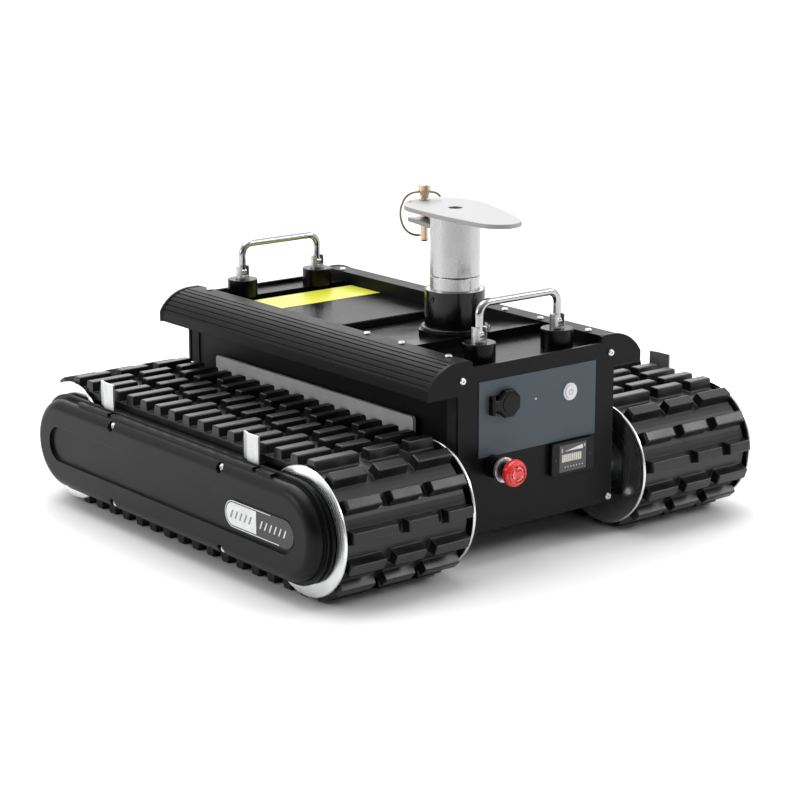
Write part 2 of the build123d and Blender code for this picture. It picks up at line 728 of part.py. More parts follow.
def make_turret_tube():
    """Upper mast tube with a spigot that turns inside the lower tube."""
    with BuildPart() as tube:
        with BuildSketch(Plane.XY.offset(SEAM_Z)):
            with Locations((0, POST_Y)):
                Circle(MAST_R)
                Circle(MAST_BORE_R - 5, mode=Mode.SUBTRACT)
        extrude(amount=PLATE_TOP_Z - PLATE_THICKNESS - SEAM_Z)
        with BuildSketch(Plane.XY.offset(SEAM_Z)):
            with Locations((0, POST_Y)):
                Circle(MAST_BORE_R - RUNNING_GAP)
                Circle(MAST_BORE_R - 5, mode=Mode.SUBTRACT)
        extrude(amount=-40)
        chamfer(tube.edges().group_by(Axis.Z)[2].sort_by(SortBy.RADIUS)[-1], length=0.8)
    save(tube.part, "turret_tube")


def plate_plane(z):
    """Plane on the mast's axis whose X axis points at the lynch pin's end of the plate."""
    turn = math.radians(PLATE_TURN)
    return Plane(origin=(0, POST_Y, z), x_dir=(math.sin(turn), math.cos(turn), 0),
                 z_dir=(0, 0, 1))


def make_coupling_plate():
    """Tapered plate under the trailer's nose, with a welded lug below for the pin."""
    with BuildPart() as plate:
        with BuildSketch(plate_plane(PLATE_TOP_Z - PLATE_THICKNESS)):
            with BuildLine():
                ThreePointArc((-125, 0), (-119.5, 14.5), (-104, 26))
                ThreePointArc((-104, 26), (-40, 40), (20, 47))
                ThreePointArc((20, 47), (60, 33.5), (78.5, 0))
                mirror(about=Plane.XZ)
            make_face()
        extrude(amount=PLATE_THICKNESS)
        with BuildSketch(plate_plane(LUG_TOP_Z)):
            with Locations((48, PIN_ASIDE - 12)):
                Rectangle(46, 4)
        extrude(amount=PLATE_TOP_Z - PLATE_THICKNESS - LUG_TOP_Z)
        with BuildSketch(plate_plane(LUG_TOP_Z - LUG_THICKNESS)):
            with Locations((52, PIN_ASIDE)):
                Rectangle(54, 28)
        extrude(amount=LUG_THICKNESS)
        with BuildSketch(plate_plane(LUG_TOP_Z - LUG_THICKNESS)):
            Circle(MAST_R + 0.02)
        extrude(amount=PLATE_TOP_Z - PLATE_THICKNESS - LUG_TOP_Z + LUG_THICKNESS,
                mode=Mode.SUBTRACT)
        with BuildSketch(plate_plane(LUG_TOP_Z - LUG_THICKNESS)):
            with Locations((PIN_AHEAD, PIN_ASIDE)):
                Circle(PIN_R + 0.15)
            Circle(PLATE_HOLE_R)
            with Locations((58, 28)):
                Circle(2.2)
        extrude(amount=PLATE_TOP_Z - LUG_TOP_Z + LUG_THICKNESS, mode=Mode.SUBTRACT)
    save(plate.part, "coupling_plate")


def ring_plane():
    """Plane of the lynch ring: its origin is where the ring crosses the pin's head."""
    pin = plate_plane(RING_AXIS_Z).from_local_coords(Vector(PIN_AHEAD, PIN_ASIDE, 0))
    turn = math.radians(RING_TURN)
    across = (math.cos(turn), math.sin(turn), 0)
    return Plane(origin=pin, x_dir=across, z_dir=Vector(across).cross(Vector(0, 0, 1)))


def make_lynch_pin():
    """Turned pin with a collar and a flared head that is cross-drilled for the ring."""
    tip = PIN_TIP_Z - RING_AXIS_Z
    collar = PLATE_TOP_Z - RING_AXIS_Z + 0.1
    top = PIN_TOP_Z - RING_AXIS_Z
    with BuildPart() as pin:
        with BuildSketch(Plane(origin=ring_plane().origin, x_dir=(1, 0, 0), z_dir=(0, -1, 0))):
            with BuildLine():
                Polyline((0, tip), (PIN_R - 1.2, tip), (PIN_R, tip + 2), (PIN_R, collar),
                         (6.4, collar), (6.4, collar + 1.5), (5.0, collar + 1.9),
                         (5.2, -3.5), (7.0, 0.8), (7.4, 2.4), (7.4, top - 0.8),
                         (6.6, top), (0, top), close=True)
            make_face()
        revolve(axis=Axis(ring_plane().origin, (0, 0, 1)))
        with BuildSketch(Plane(origin=ring_plane().origin, z_dir=ring_plane().x_dir)):
            Circle(RING_WIRE_R + 0.06)
        extrude(amount=12, both=True, mode=Mode.SUBTRACT)
    save(pin.part, "lynch_pin")


def make_lynch_ring():
    """Spring wire ring that passes through the pin's head and closes beside its tip."""
    with BuildPart() as ring:
        with BuildLine(Plane.XY) as wire:
            straight = Line((RING_STRAIGHT, 0), (-RING_STRAIGHT, 0))
            upper = JernArc(straight @ 1, straight % 1, RING_CORNER_R, 60)
            middle = JernArc(upper @ 1, upper % 1, RING_SIDE_R, 60)
            lower = JernArc(middle @ 1, middle % 1, RING_CORNER_R, 60)
            Line(lower @ 1, (-PIN_R - 0.4, (lower @ 1).Y))
            JernArc(straight @ 0, (1, 0), 13, -56)
        path = wire.wire().moved(ring_plane().location)
        with BuildSketch(Plane(origin=path @ 0, z_dir=path % 0)):
            Circle(RING_WIRE_R)
        sweep(path=path)
    save(ring.part, "lynch_ring")


def make_pads():
    """Four black feet under the handle clevises."""
    with BuildPart() as pads:
        with BuildSketch(Plane.XY.offset(FLAT_DECK_Z)):
            for y in (HANDLE_FRONT_Y, HANDLE_REAR_Y):
                with Locations((HANDLE_X, y), (-HANDLE_X, y)):
                    Circle(PAD_R)
        extrude(amount=PAD_TOP_Z - FLAT_DECK_Z)
        fillet(pads.edges().group_by(Axis.Z)[-1], radius=1.2)
    save(pads.part, "handle_pads")


def make_clevises():
    """Four forks that hold the ends of the folding handles."""
    with BuildPart() as forks:
        for y in (HANDLE_FRONT_Y, HANDLE_REAR_Y):
            for x in (-HANDLE_X, HANDLE_X):
                with BuildSketch(Plane.XY.offset(PAD_TOP_Z)):
                    with Locations((x, y)):
                        Circle(CLEVIS_R)
                extrude(amount=CLEVIS_TOP_Z - PAD_TOP_Z)
                with BuildSketch(Plane.XY.offset(249.3)):
                    with Locations((x, y)):
                        Rectangle(2 * HANDLE_ROD_R + 0.6, 30)
                extrude(amount=20, mode=Mode.SUBTRACT)
                with BuildSketch(Plane.YZ.offset(x - 12)):
                    with Locations((y, PIVOT_Z)):
                        Circle(PIVOT_PIN_R)
                extrude(amount=24, mode=Mode.SUBTRACT)
    save(forks.part, "handle_clevises")


def make_pivot_pins():
    """Four cross pins in the clevises."""
    with BuildPart() as pins:
        for y in (HANDLE_FRONT_Y, HANDLE_REAR_Y):
            for x in (-HANDLE_X, HANDLE_X):
                with BuildSketch(Plane.YZ.offset(x - CLEVIS_R + 0.2)):
                    with Locations((y, PIVOT_Z)):
                        Circle(PIVOT_PIN_R)
                extrude(amount=2 * CLEVIS_R - 0.4)
    save(pins.part, "handle_pivot_pins")


def make_handle(y, name):
    """Polished rod bent into a bail, with a drilled eye at each end."""
    with BuildPart() as handle:
        with BuildLine(front_plane(y)):
            FilletPolyline((-HANDLE_X, PIVOT_Z), (-HANDLE_X, HANDLE_BAR_Z),
                           (HANDLE_X, HANDLE_BAR_Z), (HANDLE_X, PIVOT_Z), radius=HANDLE_CORNER_R)
        with BuildSketch(Plane(origin=(-HANDLE_X, y, PIVOT_Z), z_dir=(0, 0, 1))):
            Circle(HANDLE_ROD_R)
        sweep()
        for x in (-HANDLE_X, HANDLE_X):
            with BuildSketch(Plane.YZ.offset(x - HANDLE_ROD_R + 0.6)):
                with Locations((y, PIVOT_Z)):
                    Circle(HANDLE_ROD_R + 0.5)
            extrude(amount=2 * HANDLE_ROD_R - 1.2)
        with BuildSketch(Plane.YZ.offset(-HANDLE_X - 10)):
            with Locations((y, PIVOT_Z)):
                Circle(PIVOT_PIN_R + RUNNING_GAP)
        extrude(amount=2 * HANDLE_X + 20, mode=Mode.SUBTRACT)
    save(handle.part, name)


def make_lid():
    """Hinged battery lid: a sheet with a folded front lip and two hinge knuckles."""
    with BuildPart() as lid:
        with BuildSketch(Plane.YZ.offset(-DECK_HALF_WIDTH + 0.5)):
            with BuildLine():
                Polyline((LID_FRONT_Y, LID_TOP_Z - LID_LIP), (LID_FRONT_Y, LID_TOP_Z),
                         (LID_REAR_Y, LID_TOP_Z), (LID_REAR_Y, LID_TOP_Z - DECK_SHEET),
                         (LID_FRONT_Y + DECK_SHEET, LID_TOP_Z - DECK_SHEET),
                         (LID_FRONT_Y + DECK_SHEET, LID_TOP_Z - LID_LIP), close=True)
            make_face()
        extrude(amount=2 * DECK_HALF_WIDTH - 1)
        fillet(lid.edges().filter_by(Axis.X).group_by(Axis.Y)[0].sort_by(Axis.Z)[-1], radius=1.8)
        for x in (-60, 60):
            with BuildSketch(Plane.YZ.offset(x - 6)):
                with Locations((HINGE_Y, HINGE_Z)):
                    Circle(KNUCKLE_R)
                with Locations((HINGE_Y, (HINGE_Z + LID_TOP_Z - 1) / 2)):
                    Rectangle(2 * KNUCKLE_R, LID_TOP_Z - 1 - HINGE_Z)
                with Locations((HINGE_Y, HINGE_Z)):
                    Circle(HINGE_PIN_R + RUNNING_GAP, mode=Mode.SUBTRACT)
            extrude(amount=12)
    save(lid.part, "battery_lid")


def make_lid_label():
    """Blank reflective strip on the rear of the lid."""
    with BuildPart() as label:
        with BuildSketch(Plane.XY.offset(LID_TOP_Z)):
            with Locations((18, 174)):
                Rectangle(156, 60)
        extrude(amount=0.4)
    save(label.part, "lid_label")


def make_hinge_bar():
    """Bar across the chassis ledges with the lid's hinge eyes and their pressed pins."""
    with BuildPart() as bar:
        with Locations((0, HINGE_Y + 4.5, CHASSIS_TOP_Z + 1.5)):
            Box(2 * DECK_HALF_WIDTH, 15, 3)
        for x in (-60, 60):
            for shift in (-11, 11):
                with BuildSketch(Plane.YZ.offset(x + shift - 4.5)):
                    with Locations((HINGE_Y, HINGE_Z)):
                        Circle(KNUCKLE_R)
                    with Locations((HINGE_Y, (CHASSIS_TOP_Z + 1 + HINGE_Z) / 2)):
                        Rectangle(2 * KNUCKLE_R, HINGE_Z - CHASSIS_TOP_Z - 1)
                extrude(amount=9)
            with BuildSketch(Plane.YZ.offset(x - 16)):
                with Locations((HINGE_Y, HINGE_Z)):
                    Circle(HINGE_PIN_R)
            extrude(amount=32)
    save(bar.part, "lid_hinge_bar")


def make_battery_tray():
    """Open tray that hangs on the chassis ledges and holds the battery."""
    rim_z = LID_TOP_Z - DECK_SHEET - 0.3
    with BuildPart() as tray:
        with Locations((0, 122, (rim_z + 114) / 2)):
            Box(168, 148, rim_z - 114)
        with Locations((0, 122, (rim_z + 114) / 2 + 2)):
            Box(164, 144, rim_z - 114, mode=Mode.SUBTRACT)
        with Locations((0, 122, CHASSIS_TOP_Z + 1)):
            Box(190, 148, 2)
            Box(166, 146, 4, mode=Mode.SUBTRACT)
    save(tray.part, "battery_tray")


def make_battery():
    """Battery block with two raised terminals."""
    with BuildPart() as pack:
        with Locations((0, 122, 159)):
            Box(158, 136, 86)
        fillet(pack.edges().filter_by(Axis.Z), radius=5)
        with Locations((-55, 70, 204), (55, 70, 204)):
            Cylinder(7, 5)
    save(pack.part, "battery_pack")


def make_gear_motors():
    """Two worm gear motors: gearboxes on the rear axles, motor cans pointing forward."""
    with BuildPart() as motors:
        for side in (-1, 1):
            with Locations((side * 74.5, AXLE_Y - 4, AXLE_Z)):
                Box(49, 48, 58)
            with BuildSketch(Plane.XZ.offset(-AXLE_Y + 26)):
                with Locations((side * 70, AXLE_Z)):
                    Circle(27)
            extrude(amount=140)
        with BuildSketch(side_plane(-110)):
            with Locations((AXLE_Y, 0)):
                Circle(AXLE_R + RUNNING_GAP)
        extrude(amount=220, mode=Mode.SUBTRACT)
    save(motors.part, "gear_motors")


def make_controller():
    """Motor controller box on the chassis floor."""
    with BuildPart() as box:
        with Locations((0, -110, CHASSIS_BOTTOM_Z + CHASSIS_WALL + 16)):
            Box(140, 110, 32)
        fillet(box.edges().filter_by(Axis.Z), radius=4)
        with GridLocations(14, 0, 9, 1):
            with Locations((0, -110, CHASSIS_BOTTOM_Z + CHASSIS_WALL + 34)):
                Box(3, 100, 6)
    save(box.part, "motor_controller")


def make_inner_bearings():
    """Four flanged bearing housings in the chassis walls."""
    with BuildPart() as bearings:
        for side in (-1, 1):
            for near, far, radius in ((100.0, 113.0, 20.0), (113.0, 117.0, 23.5)):
                start, length = x_span(side, near, far)
                with BuildSketch(side_plane(start)):
                    with Locations((-AXLE_Y, 0), (AXLE_Y, 0)):
                        Circle(radius)
                        Circle(AXLE_R + RUNNING_GAP, mode=Mode.SUBTRACT)
                extrude(amount=length)
    save(bearings.part, "axle_bearings")


def make_overlay():
    """Printed overlay sheet of the control panel, with its cut-outs."""
    with BuildPart() as overlay:
        with BuildSketch(front_plane(-END_FACE_Y)):
            with Locations((0, (OVERLAY_BOTTOM_Z + OVERLAY_TOP_Z) / 2)):
                Rectangle(2 * OVERLAY_HALF_WIDTH, OVERLAY_TOP_Z - OVERLAY_BOTTOM_Z)
            with Locations((POWER_X, POWER_Z)):
                Circle(9.1, mode=Mode.SUBTRACT)
            with Locations((PORT_X, PORT_Z)):
                Circle(14.1, mode=Mode.SUBTRACT)
            with Locations((LED_X, LED_Z)):
                Circle(LED_R + 0.1, mode=Mode.SUBTRACT)
            with Locations((STOP_X, STOP_Z)):
                Circle(13.0, mode=Mode.SUBTRACT)
        extrude(amount=OVERLAY_SHEET)
    save(overlay.part, "panel_overlay")


def turned(name, x, z, rings):
    """Round panel part about the Y axis: rings of (start y, end y, outer r, bore r)."""
    with BuildPart() as piece:
        for start, end, outer, bore in rings:
            with BuildSketch(front_plane(start)):
                with Locations((x, z)):
                    Circle(outer)
                    if bore:
                        Circle(bore, mode=Mode.SUBTRACT)
            extrude(amount=start - end)
    save(piece.part, name)


def make_stop_head():
    """Mushroom head of the emergency stop, with a raised twist grip."""
    with BuildPart() as head:
        with BuildSketch(Plane(origin=(STOP_X, STOP_HEAD_Y, STOP_Z), x_dir=(1, 0, 0),
                               z_dir=(0, 0, 1))):
            with BuildLine():
                Polyline((0, 0), (10.6, 0), (14.4, -2.2))
                ThreePointArc((14.4, -2.2), (15.3, -6.6), (13.0, -11.0))
                Polyline((13.0, -11.0), (10.9, -11.6), (10.0, -10.6), (0, -10.6), (0, 0))
            make_face()
        revolve(axis=Axis((STOP_X, STOP_HEAD_Y, STOP_Z), (0, 1, 0)))
        with BuildSketch(front_plane(STOP_HEAD_Y - 10.4)):
            with Locations((STOP_X, STOP_Z)):
                SlotOverall(17.5, 6.5, rotation=-8)
        extrude(amount=2.2)
        with BuildSketch(front_plane(STOP_HEAD_Y)):
            with Locations((STOP_X, STOP_Z)):
                Circle(4.06)
        extrude(amount=8, mode=Mode.SUBTRACT)
    save(head.part, "stop_head")


def make_led():
    """Domed status lamp."""
    with BuildPart() as led:
        with BuildSketch(front_plane(-END_INNER_Y)):
            with Locations((LED_X, LED_Z)):
                Circle(LED_R)
        extrude(amount=END_PLATE + 1.8)
        fillet(led.edges().group_by(Axis.Y)[0], radius=1.2)
    save(led.part, "status_led")


def make_gauge():
    """Battery gauge bezel with a window recess and a housing behind the plate."""
    face = -END_FACE_Y
    with BuildPart() as bezel:
        with BuildSketch(front_plane(face)):
            with Locations((GAUGE_X, GAUGE_Z)):
                RectangleRounded(GAUGE_WIDTH, GAUGE_HEIGHT, 3)
        extrude(amount=GAUGE_DEPTH)
        fillet(bezel.faces().sort_by(Axis.Y)[0].edges(), radius=1.2)
        with BuildSketch(front_plane(face - GAUGE_DEPTH)):
            with Locations((GAUGE_X, GAUGE_Z)):
                Rectangle(42, 32)
        extrude(amount=-1.6, mode=Mode.SUBTRACT)
        with BuildSketch(front_plane(face + END_PLATE + 18)):
            with Locations((GAUGE_X, GAUGE_Z)):
                Rectangle(45.6, 25.6)
        extrude(amount=END_PLATE + 18)
        with BuildSketch(front_plane(face - GAUGE_DEPTH)):
            with Locations((GAUGE_X - 26, GAUGE_Z), (GAUGE_X + 26, GAUGE_Z)):
                Circle(1.45)
        extrude(amount=-5, mode=Mode.SUBTRACT)
    save(bezel.part, "gauge_bezel")


def make_gauge_window():
    """Dark window plate of the gauge."""
    with BuildPart() as window:
        with BuildSketch(front_plane(-END_FACE_Y - GAUGE_DEPTH + 1.6)):
            with Locations((GAUGE_X, GAUGE_Z)):
                Rectangle(42, 32)
        extrude(amount=1.0)
    save(window.part, "gauge_window")


def make_port_cap():
    """Eight-sided charge port cap with a hinge ear on its left."""
    back = -END_FACE_Y - 3.2
    with BuildPart() as cap:
        with BuildSketch(front_plane(back)):
            with Locations((PORT_X, PORT_Z)):
                RegularPolygon(PORT_CAP_APOTHEM, 8, major_radius=False, rotation=22.5)
            with Locations(((PORT_X + PORT_HINGE_X) / 2, PORT_Z)):
                Rectangle(PORT_X - PORT_HINGE_X, 12)
        extrude(amount=5.6)
        fillet(cap.faces().sort_by(Axis.Y)[0].edges(), radius=1.6)
        with BuildSketch(Plane.XY.offset(PORT_Z - 6)):
            with Locations((PORT_HINGE_X, PORT_HINGE_Y)):
                Circle(2.8)
        extrude(amount=12)
        with BuildSketch(Plane.XY.offset(PORT_Z - 6)):
            with Locations((PORT_HINGE_X, PORT_HINGE_Y)):
                Circle(PORT_PIN_R + RUNNING_GAP)
        extrude(amount=12, mode=Mode.SUBTRACT)
    save(cap.part, "port_cap")


def make_charge_port():
    """Charge port: a socket through the plate, its face ring, hinge ears and pin."""
    face = -END_FACE_Y - OVERLAY_SHEET
    with BuildPart() as port:
        with BuildSketch(front_plane(-END_INNER_Y + 16)):
            with Locations((PORT_X, PORT_Z)):
                Circle(14)
        extrude(amount=END_PLATE + 16 + OVERLAY_SHEET)
        with BuildSketch(front_plane(face)):
            with Locations((PORT_X, PORT_Z)):
                Circle(15.0)
            with Locations((PORT_X - 13, PORT_Z)):
                Rectangle(22, 21)
        extrude(amount=1.8)
        with BuildSketch(front_plane(face - 1.8)):
            with Locations((PORT_X, PORT_Z)):
                Circle(11)
        extrude(amount=-18, mode=Mode.SUBTRACT)
        for z in (PORT_Z - 10.5, PORT_Z + 6.3):
            with BuildSketch(Plane.XY.offset(z)):
                with Locations((PORT_HINGE_X, (face - 1 + PORT_HINGE_Y) / 2)):
                    Rectangle(4.8, face - 1 - PORT_HINGE_Y)
                with Locations((PORT_HINGE_X, PORT_HINGE_Y)):
                    Circle(2.4)
            extrude(amount=4.2)
        with BuildSketch(Plane.XY.offset(PORT_Z - 10.5)):
            with Locations((PORT_HINGE_X, PORT_HINGE_Y)):
                Circle(PORT_PIN_R)
        extrude(amount=21)
    save(port.part, "charge_port")


os.makedirs("parts", exist_ok=True)

for side, word in ((-1, "left"), (1, "right")):
    make_belt(side, word + "_track_belt")
    make_drum(side, -AXLE_Y, word + "_front_drum")
    make_drum(side, AXLE_Y, word + "_rear_drum")
    make_axle(side, -AXLE_Y, 101.0, word + "_front_axle")
    make_axle(side, AXLE_Y, 60.0, word + "_rear_axle")
    make_cover(side, word + "_cover")
    make_wing(side, word + "_wing")

make_slider_beds()
make_guard_strips()
make_frame_plates()
make_guide_tabs()
make_badges()
make_cover_screws()
make_chassis_screws()
make_gear_motors()
make_inner_bearings()
make_shell()
make_front_plate()
make_rear_plate()
make_flat_deck(-END_INNER_Y, POST_DECK_Y + 3, "front_deck")
make_flat_deck(REAR_DECK_Y, END_INNER_Y, "rear_deck")
make_post_deck()
make_sleeve()
make_set_screws()
make_bush()
make_mast_tube()
make_turret_tube()
make_coupling_plate()
make_lynch_pin()
make_lynch_ring()
make_pads()
make_clevises()
make_pivot_pins()
make_handle(HANDLE_FRONT_Y, "front_handle")
make_handle(HANDLE_REAR_Y, "rear_handle")
make_lid()
make_lid_label()
make_hinge_bar()
make_battery_tray()
make_battery()
make_controller()
make_overlay()
make_led()
make_gauge()
make_gauge_window()
make_charge_port()
make_port_cap()
turned("stop_base", STOP_X, STOP_Z, ((-239, -263, 11, 6.06), (-263, -282.5, 12.6, 6.06),
                                     (-282.5, -291.2, 10.4, 6.06)))
turned("stop_bezel", STOP_X, STOP_Z, ((-282.5, -285.5, 14.2, 10.45), (-285.5, -287.3, 13.4, 10.45)))
turned("stop_stem", STOP_X, STOP_Z, ((-246, -295, 6, 0), (-295, -302, 4, 0)))
make_stop_head()
turned("power_switch", POWER_X, POWER_Z, ((-239, -262.4, 9, 0), (-262.4, -263.8, 9, 7.56),
                                          (-263.8, -265.2, 10, 7.56)))
turned("power_cap", POWER_X, POWER_Z, ((-264, -266.2, 7.5, 0),))
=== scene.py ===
import math
import random

import bmesh
import bpy
from mathutils import Matrix, Vector


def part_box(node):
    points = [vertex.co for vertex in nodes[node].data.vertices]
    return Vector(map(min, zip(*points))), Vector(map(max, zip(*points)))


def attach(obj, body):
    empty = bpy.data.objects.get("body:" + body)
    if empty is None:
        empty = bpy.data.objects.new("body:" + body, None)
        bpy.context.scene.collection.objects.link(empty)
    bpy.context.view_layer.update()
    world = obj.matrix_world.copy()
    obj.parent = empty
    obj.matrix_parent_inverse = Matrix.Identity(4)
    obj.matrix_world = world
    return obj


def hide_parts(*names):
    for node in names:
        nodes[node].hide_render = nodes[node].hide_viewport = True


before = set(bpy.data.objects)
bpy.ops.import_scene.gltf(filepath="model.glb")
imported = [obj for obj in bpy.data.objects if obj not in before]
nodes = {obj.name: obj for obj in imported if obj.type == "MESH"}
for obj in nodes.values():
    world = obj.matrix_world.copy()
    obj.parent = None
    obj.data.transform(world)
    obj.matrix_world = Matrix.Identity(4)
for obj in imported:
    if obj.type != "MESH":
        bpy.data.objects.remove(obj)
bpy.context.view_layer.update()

scene = bpy.context.scene
MM = 0.001


# ---------------------------------------------------------------- materials

class Shader:
    """A node material with helpers for the few node chains that all finishes share."""

    def __init__(self, name):
        self.mat = bpy.data.materials.new(name)
        self.mat.use_nodes = True
        self.tree = self.mat.node_tree
        self.bsdf = self.tree.nodes["Principled BSDF"]
        self.coords = self.node("ShaderNodeTexCoord").outputs["Object"]

    def node(self, kind, **settings):
        made = self.tree.nodes.new(kind)
        for key, value in settings.items():
            setattr(made, key, value)
        return made

    def link(self, source, target):
        self.tree.links.new(source, target)

    def set(self, **values):
        for key, value in values.items():
            self.bsdf.inputs[key.replace("_", " ")].default_value = value

    def mapped(self, scale=(1, 1, 1), turn=(0, 0, 0), shift=(0, 0, 0)):
        mapping = self.node("ShaderNodeMapping")
        mapping.inputs["Scale"].default_value = scale
        mapping.inputs["Rotation"].default_value = turn
        mapping.inputs["Location"].default_value = shift
        self.link(self.coords, mapping.inputs["Vector"])
        return mapping.outputs["Vector"]

    def noise(self, size, detail=3.0, stretch=(1, 1, 1), rough=0.5):
        """Noise whose features are about size millimetres across."""
        scale = 1.0 / (size * MM)
        made = self.node("ShaderNodeTexNoise")
        made.inputs["Scale"].default_value = 1.0
        made.inputs["Detail"].default_value = detail
        made.inputs["Roughness"].default_value = rough
        self.link(self.mapped([scale * s for s in stretch]), made.inputs["Vector"])
        return made.outputs["Fac"]

    def spread(self, value, low, high, start=0.3, end=0.7):
        made = self.node("ShaderNodeMapRange")
        made.inputs["From Min"].default_value = start
        made.inputs["From Max"].default_value = end
        made.inputs["To Min"].default_value = low
        made.inputs["To Max"].default_value = high
        self.link(value, made.inputs["Value"])
        return made.outputs["Result"]

    def math(self, operation, a, b=None):
        made = self.node("ShaderNodeMath", operation=operation)
        for socket, value in zip(made.inputs, (a, b)):
            if value is None:
                continue
            if isinstance(value, (int, float)):
                socket.default_value = value
            else:
                self.link(value, socket)
        return made.outputs[0]

    def blend(self, factor, low, high):
        made = self.node("ShaderNodeMix", data_type="RGBA")
        for key, value in (("Factor_Float", factor), ("A_Color", low), ("B_Color", high)):
            socket = next(s for s in made.inputs if s.identifier == key)
            if isinstance(value, (tuple, list)):
                socket.default_value = tuple(value) + (1.0,) * (4 - len(value))
            elif isinstance(value, (int, float)):
                socket.default_value = value
            else:
                self.link(value, socket)
        return next(s for s in made.outputs if s.identifier == "Result_Color")

    def edges(self, radius):
        """Rounded normal for sharp edges, and a mask that is 1 on them, where coated paints its
        edge highlight.
        """
        bevel = self.node("ShaderNodeBevel", samples=4)
        bevel.inputs["Radius"].default_value = radius * MM
        flat = self.node("ShaderNodeNewGeometry")
        dot = self.node("ShaderNodeVectorMath", operation="DOT_PRODUCT")
        self.link(bevel.outputs[0], dot.inputs[0])
        self.link(flat.outputs["Normal"], dot.inputs[1])
        return bevel.outputs[0], self.spread(dot.outputs["Value"], 1.0, 0.0, 0.8, 0.98)

    def bump(self, height, depth, normal=None, strength=1.0):
        made = self.node("ShaderNodeBump")
        made.inputs["Strength"].default_value = strength
        made.inputs["Distance"].default_value = depth * MM
        self.link(height, made.inputs["Height"])
        if normal is not None:
            self.link(normal, made.inputs["Normal"])
        return made.outputs["Normal"]

    def finish(self, color=None, roughness=None, normal=None):
        for name, value in (("Base Color", color), ("Roughness", roughness), ("Normal", normal)):
            if value is not None:
                self.link(value, self.bsdf.inputs[name])
        return self.mat


def coated(name, dark, light, rough, grain, depth, edge=0.6, painted_edge_tone=None, spec=0.5,
           patch=45.0, metallic=0.0, coat=0.0):
    """Paint, powder coat or moulded plastic: grain, cloudy gloss and a painted highlight along
    the edges.
    """
    s = Shader(name)
    s.set(Metallic=metallic, Specular_IOR_Level=spec, Coat_Weight=coat, Coat_Roughness=0.12)
    normal, mask = s.edges(edge)
    cloud = s.noise(patch, 4.0)
    color = s.blend(s.spread(cloud, 0.0, 1.0), dark, light)
    # Painted edge highlight: edges are tinted up to 70% towards the edge tone. The tone is
    # lighter than the body on every finish except the guard strip's paint, where it is darker.
    color = s.blend(s.math("MULTIPLY", mask, 0.7), color, painted_edge_tone or light)
    fine = s.noise(grain, 2.0)
    roughness = s.math("ADD", s.spread(cloud, rough - 0.04, rough + 0.05),
                       s.spread(fine, -0.03, 0.03))
    return s.finish(color, roughness, s.bump(fine, depth, normal))


def brushed(name, dark, light, rough, stretch, grain=1.2, edge=0.5, depth=0.02, patch=30.0):
    """Bare metal with fine lines along the axes whose stretch is small."""
    s = Shader(name)
    s.set(Metallic=1.0)
    normal, mask = s.edges(edge)
    lines = s.noise(grain, 3.0, stretch, 0.6)
    cloud = s.noise(patch, 4.0)
    mixed = s.math("ADD", s.math("MULTIPLY", lines, 0.6), s.math("MULTIPLY", cloud, 0.4))
    color = s.blend(s.spread(mixed, 0.0, 1.0, 0.35, 0.65), dark, light)
    roughness = s.spread(mixed, rough - 0.06, rough + 0.08, 0.35, 0.65)
    return s.finish(color, roughness, s.bump(lines, depth, normal))


def turned_rings(name, dark, light, rough, y, pitch=0.9):
    """Metal faced on a lathe about an axle that lies along X at y."""
    s = Shader(name)
    s.set(Metallic=1.0)
    normal, mask = s.edges(0.5)
    split = s.node("ShaderNodeSeparateXYZ")
    s.link(s.mapped(shift=(0, -y, -AXLE_Z)), split.inputs[0])
    across = s.math("POWER", split.outputs["Y"], 2.0)
    up = s.math("POWER", split.outputs["Z"], 2.0)
    radius = s.math("SQRT", s.math("ADD", across, up))
    rings = s.node("ShaderNodeTexNoise", noise_dimensions="1D")
    rings.inputs["Scale"].default_value = 1.0 / (pitch * MM)
    rings.inputs["Detail"].default_value = 3.0
    s.link(radius, rings.inputs["W"])
    cloud = s.noise(25, 4.0)
    color = s.blend(s.spread(cloud, 0.0, 1.0), dark, light)
    roughness = s.spread(rings.outputs["Fac"], rough - 0.06, rough + 0.08)
    return s.finish(color, roughness, s.bump(rings.outputs["Fac"], 0.03, normal))


AXLE_Z = (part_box("left_front_axle")[0].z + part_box("left_front_axle")[1].z) / 2
AXLE_Y = (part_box("left_rear_axle")[0].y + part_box("left_rear_axle")[1].y) / 2

# The edge tones given below are painted highlights along the edges. On the guard strip's paint
# the edge tone is darker than the body.
powder = coated("powder_black", (0.0035, 0.0035, 0.0037), (0.0065, 0.0065, 0.0068), 0.44, 0.9,
                0.03, edge=0.7, painted_edge_tone=(0.02, 0.02, 0.021), spec=0.12)
sheet = coated("sheet_black", (0.004, 0.004, 0.0042), (0.006, 0.006, 0.0063), 0.36, 0.7, 0.012,
               edge=0.5, painted_edge_tone=(0.06, 0.06, 0.062), spec=0.12)
deck = coated("deck_black", (0.0022, 0.0022, 0.0024), (0.004, 0.004, 0.0043), 0.20, 1.2, 0.006,
              edge=0.6, painted_edge_tone=(0.03, 0.03, 0.03), spec=0.06)
cover = coated("cover_black", (0.0030, 0.0030, 0.0032), (0.0048, 0.0048, 0.005), 0.34, 0.6, 0.015,
               edge=1.3, painted_edge_tone=(0.026, 0.026, 0.026), spec=0.16)
rubber = coated("track_rubber", (0.0026, 0.0026, 0.0028), (0.0052, 0.0052, 0.0054), 0.33, 1.0,
                0.03, edge=0.9, painted_edge_tone=(0.024, 0.024, 0.024), spec=0.45, patch=28)
gloss = coated("sleeve_black", (0.0018, 0.0018, 0.0018), (0.003, 0.003, 0.003), 0.17, 1.5,
               0.006, edge=0.5, painted_edge_tone=(0.02, 0.02, 0.02), spec=0.36)
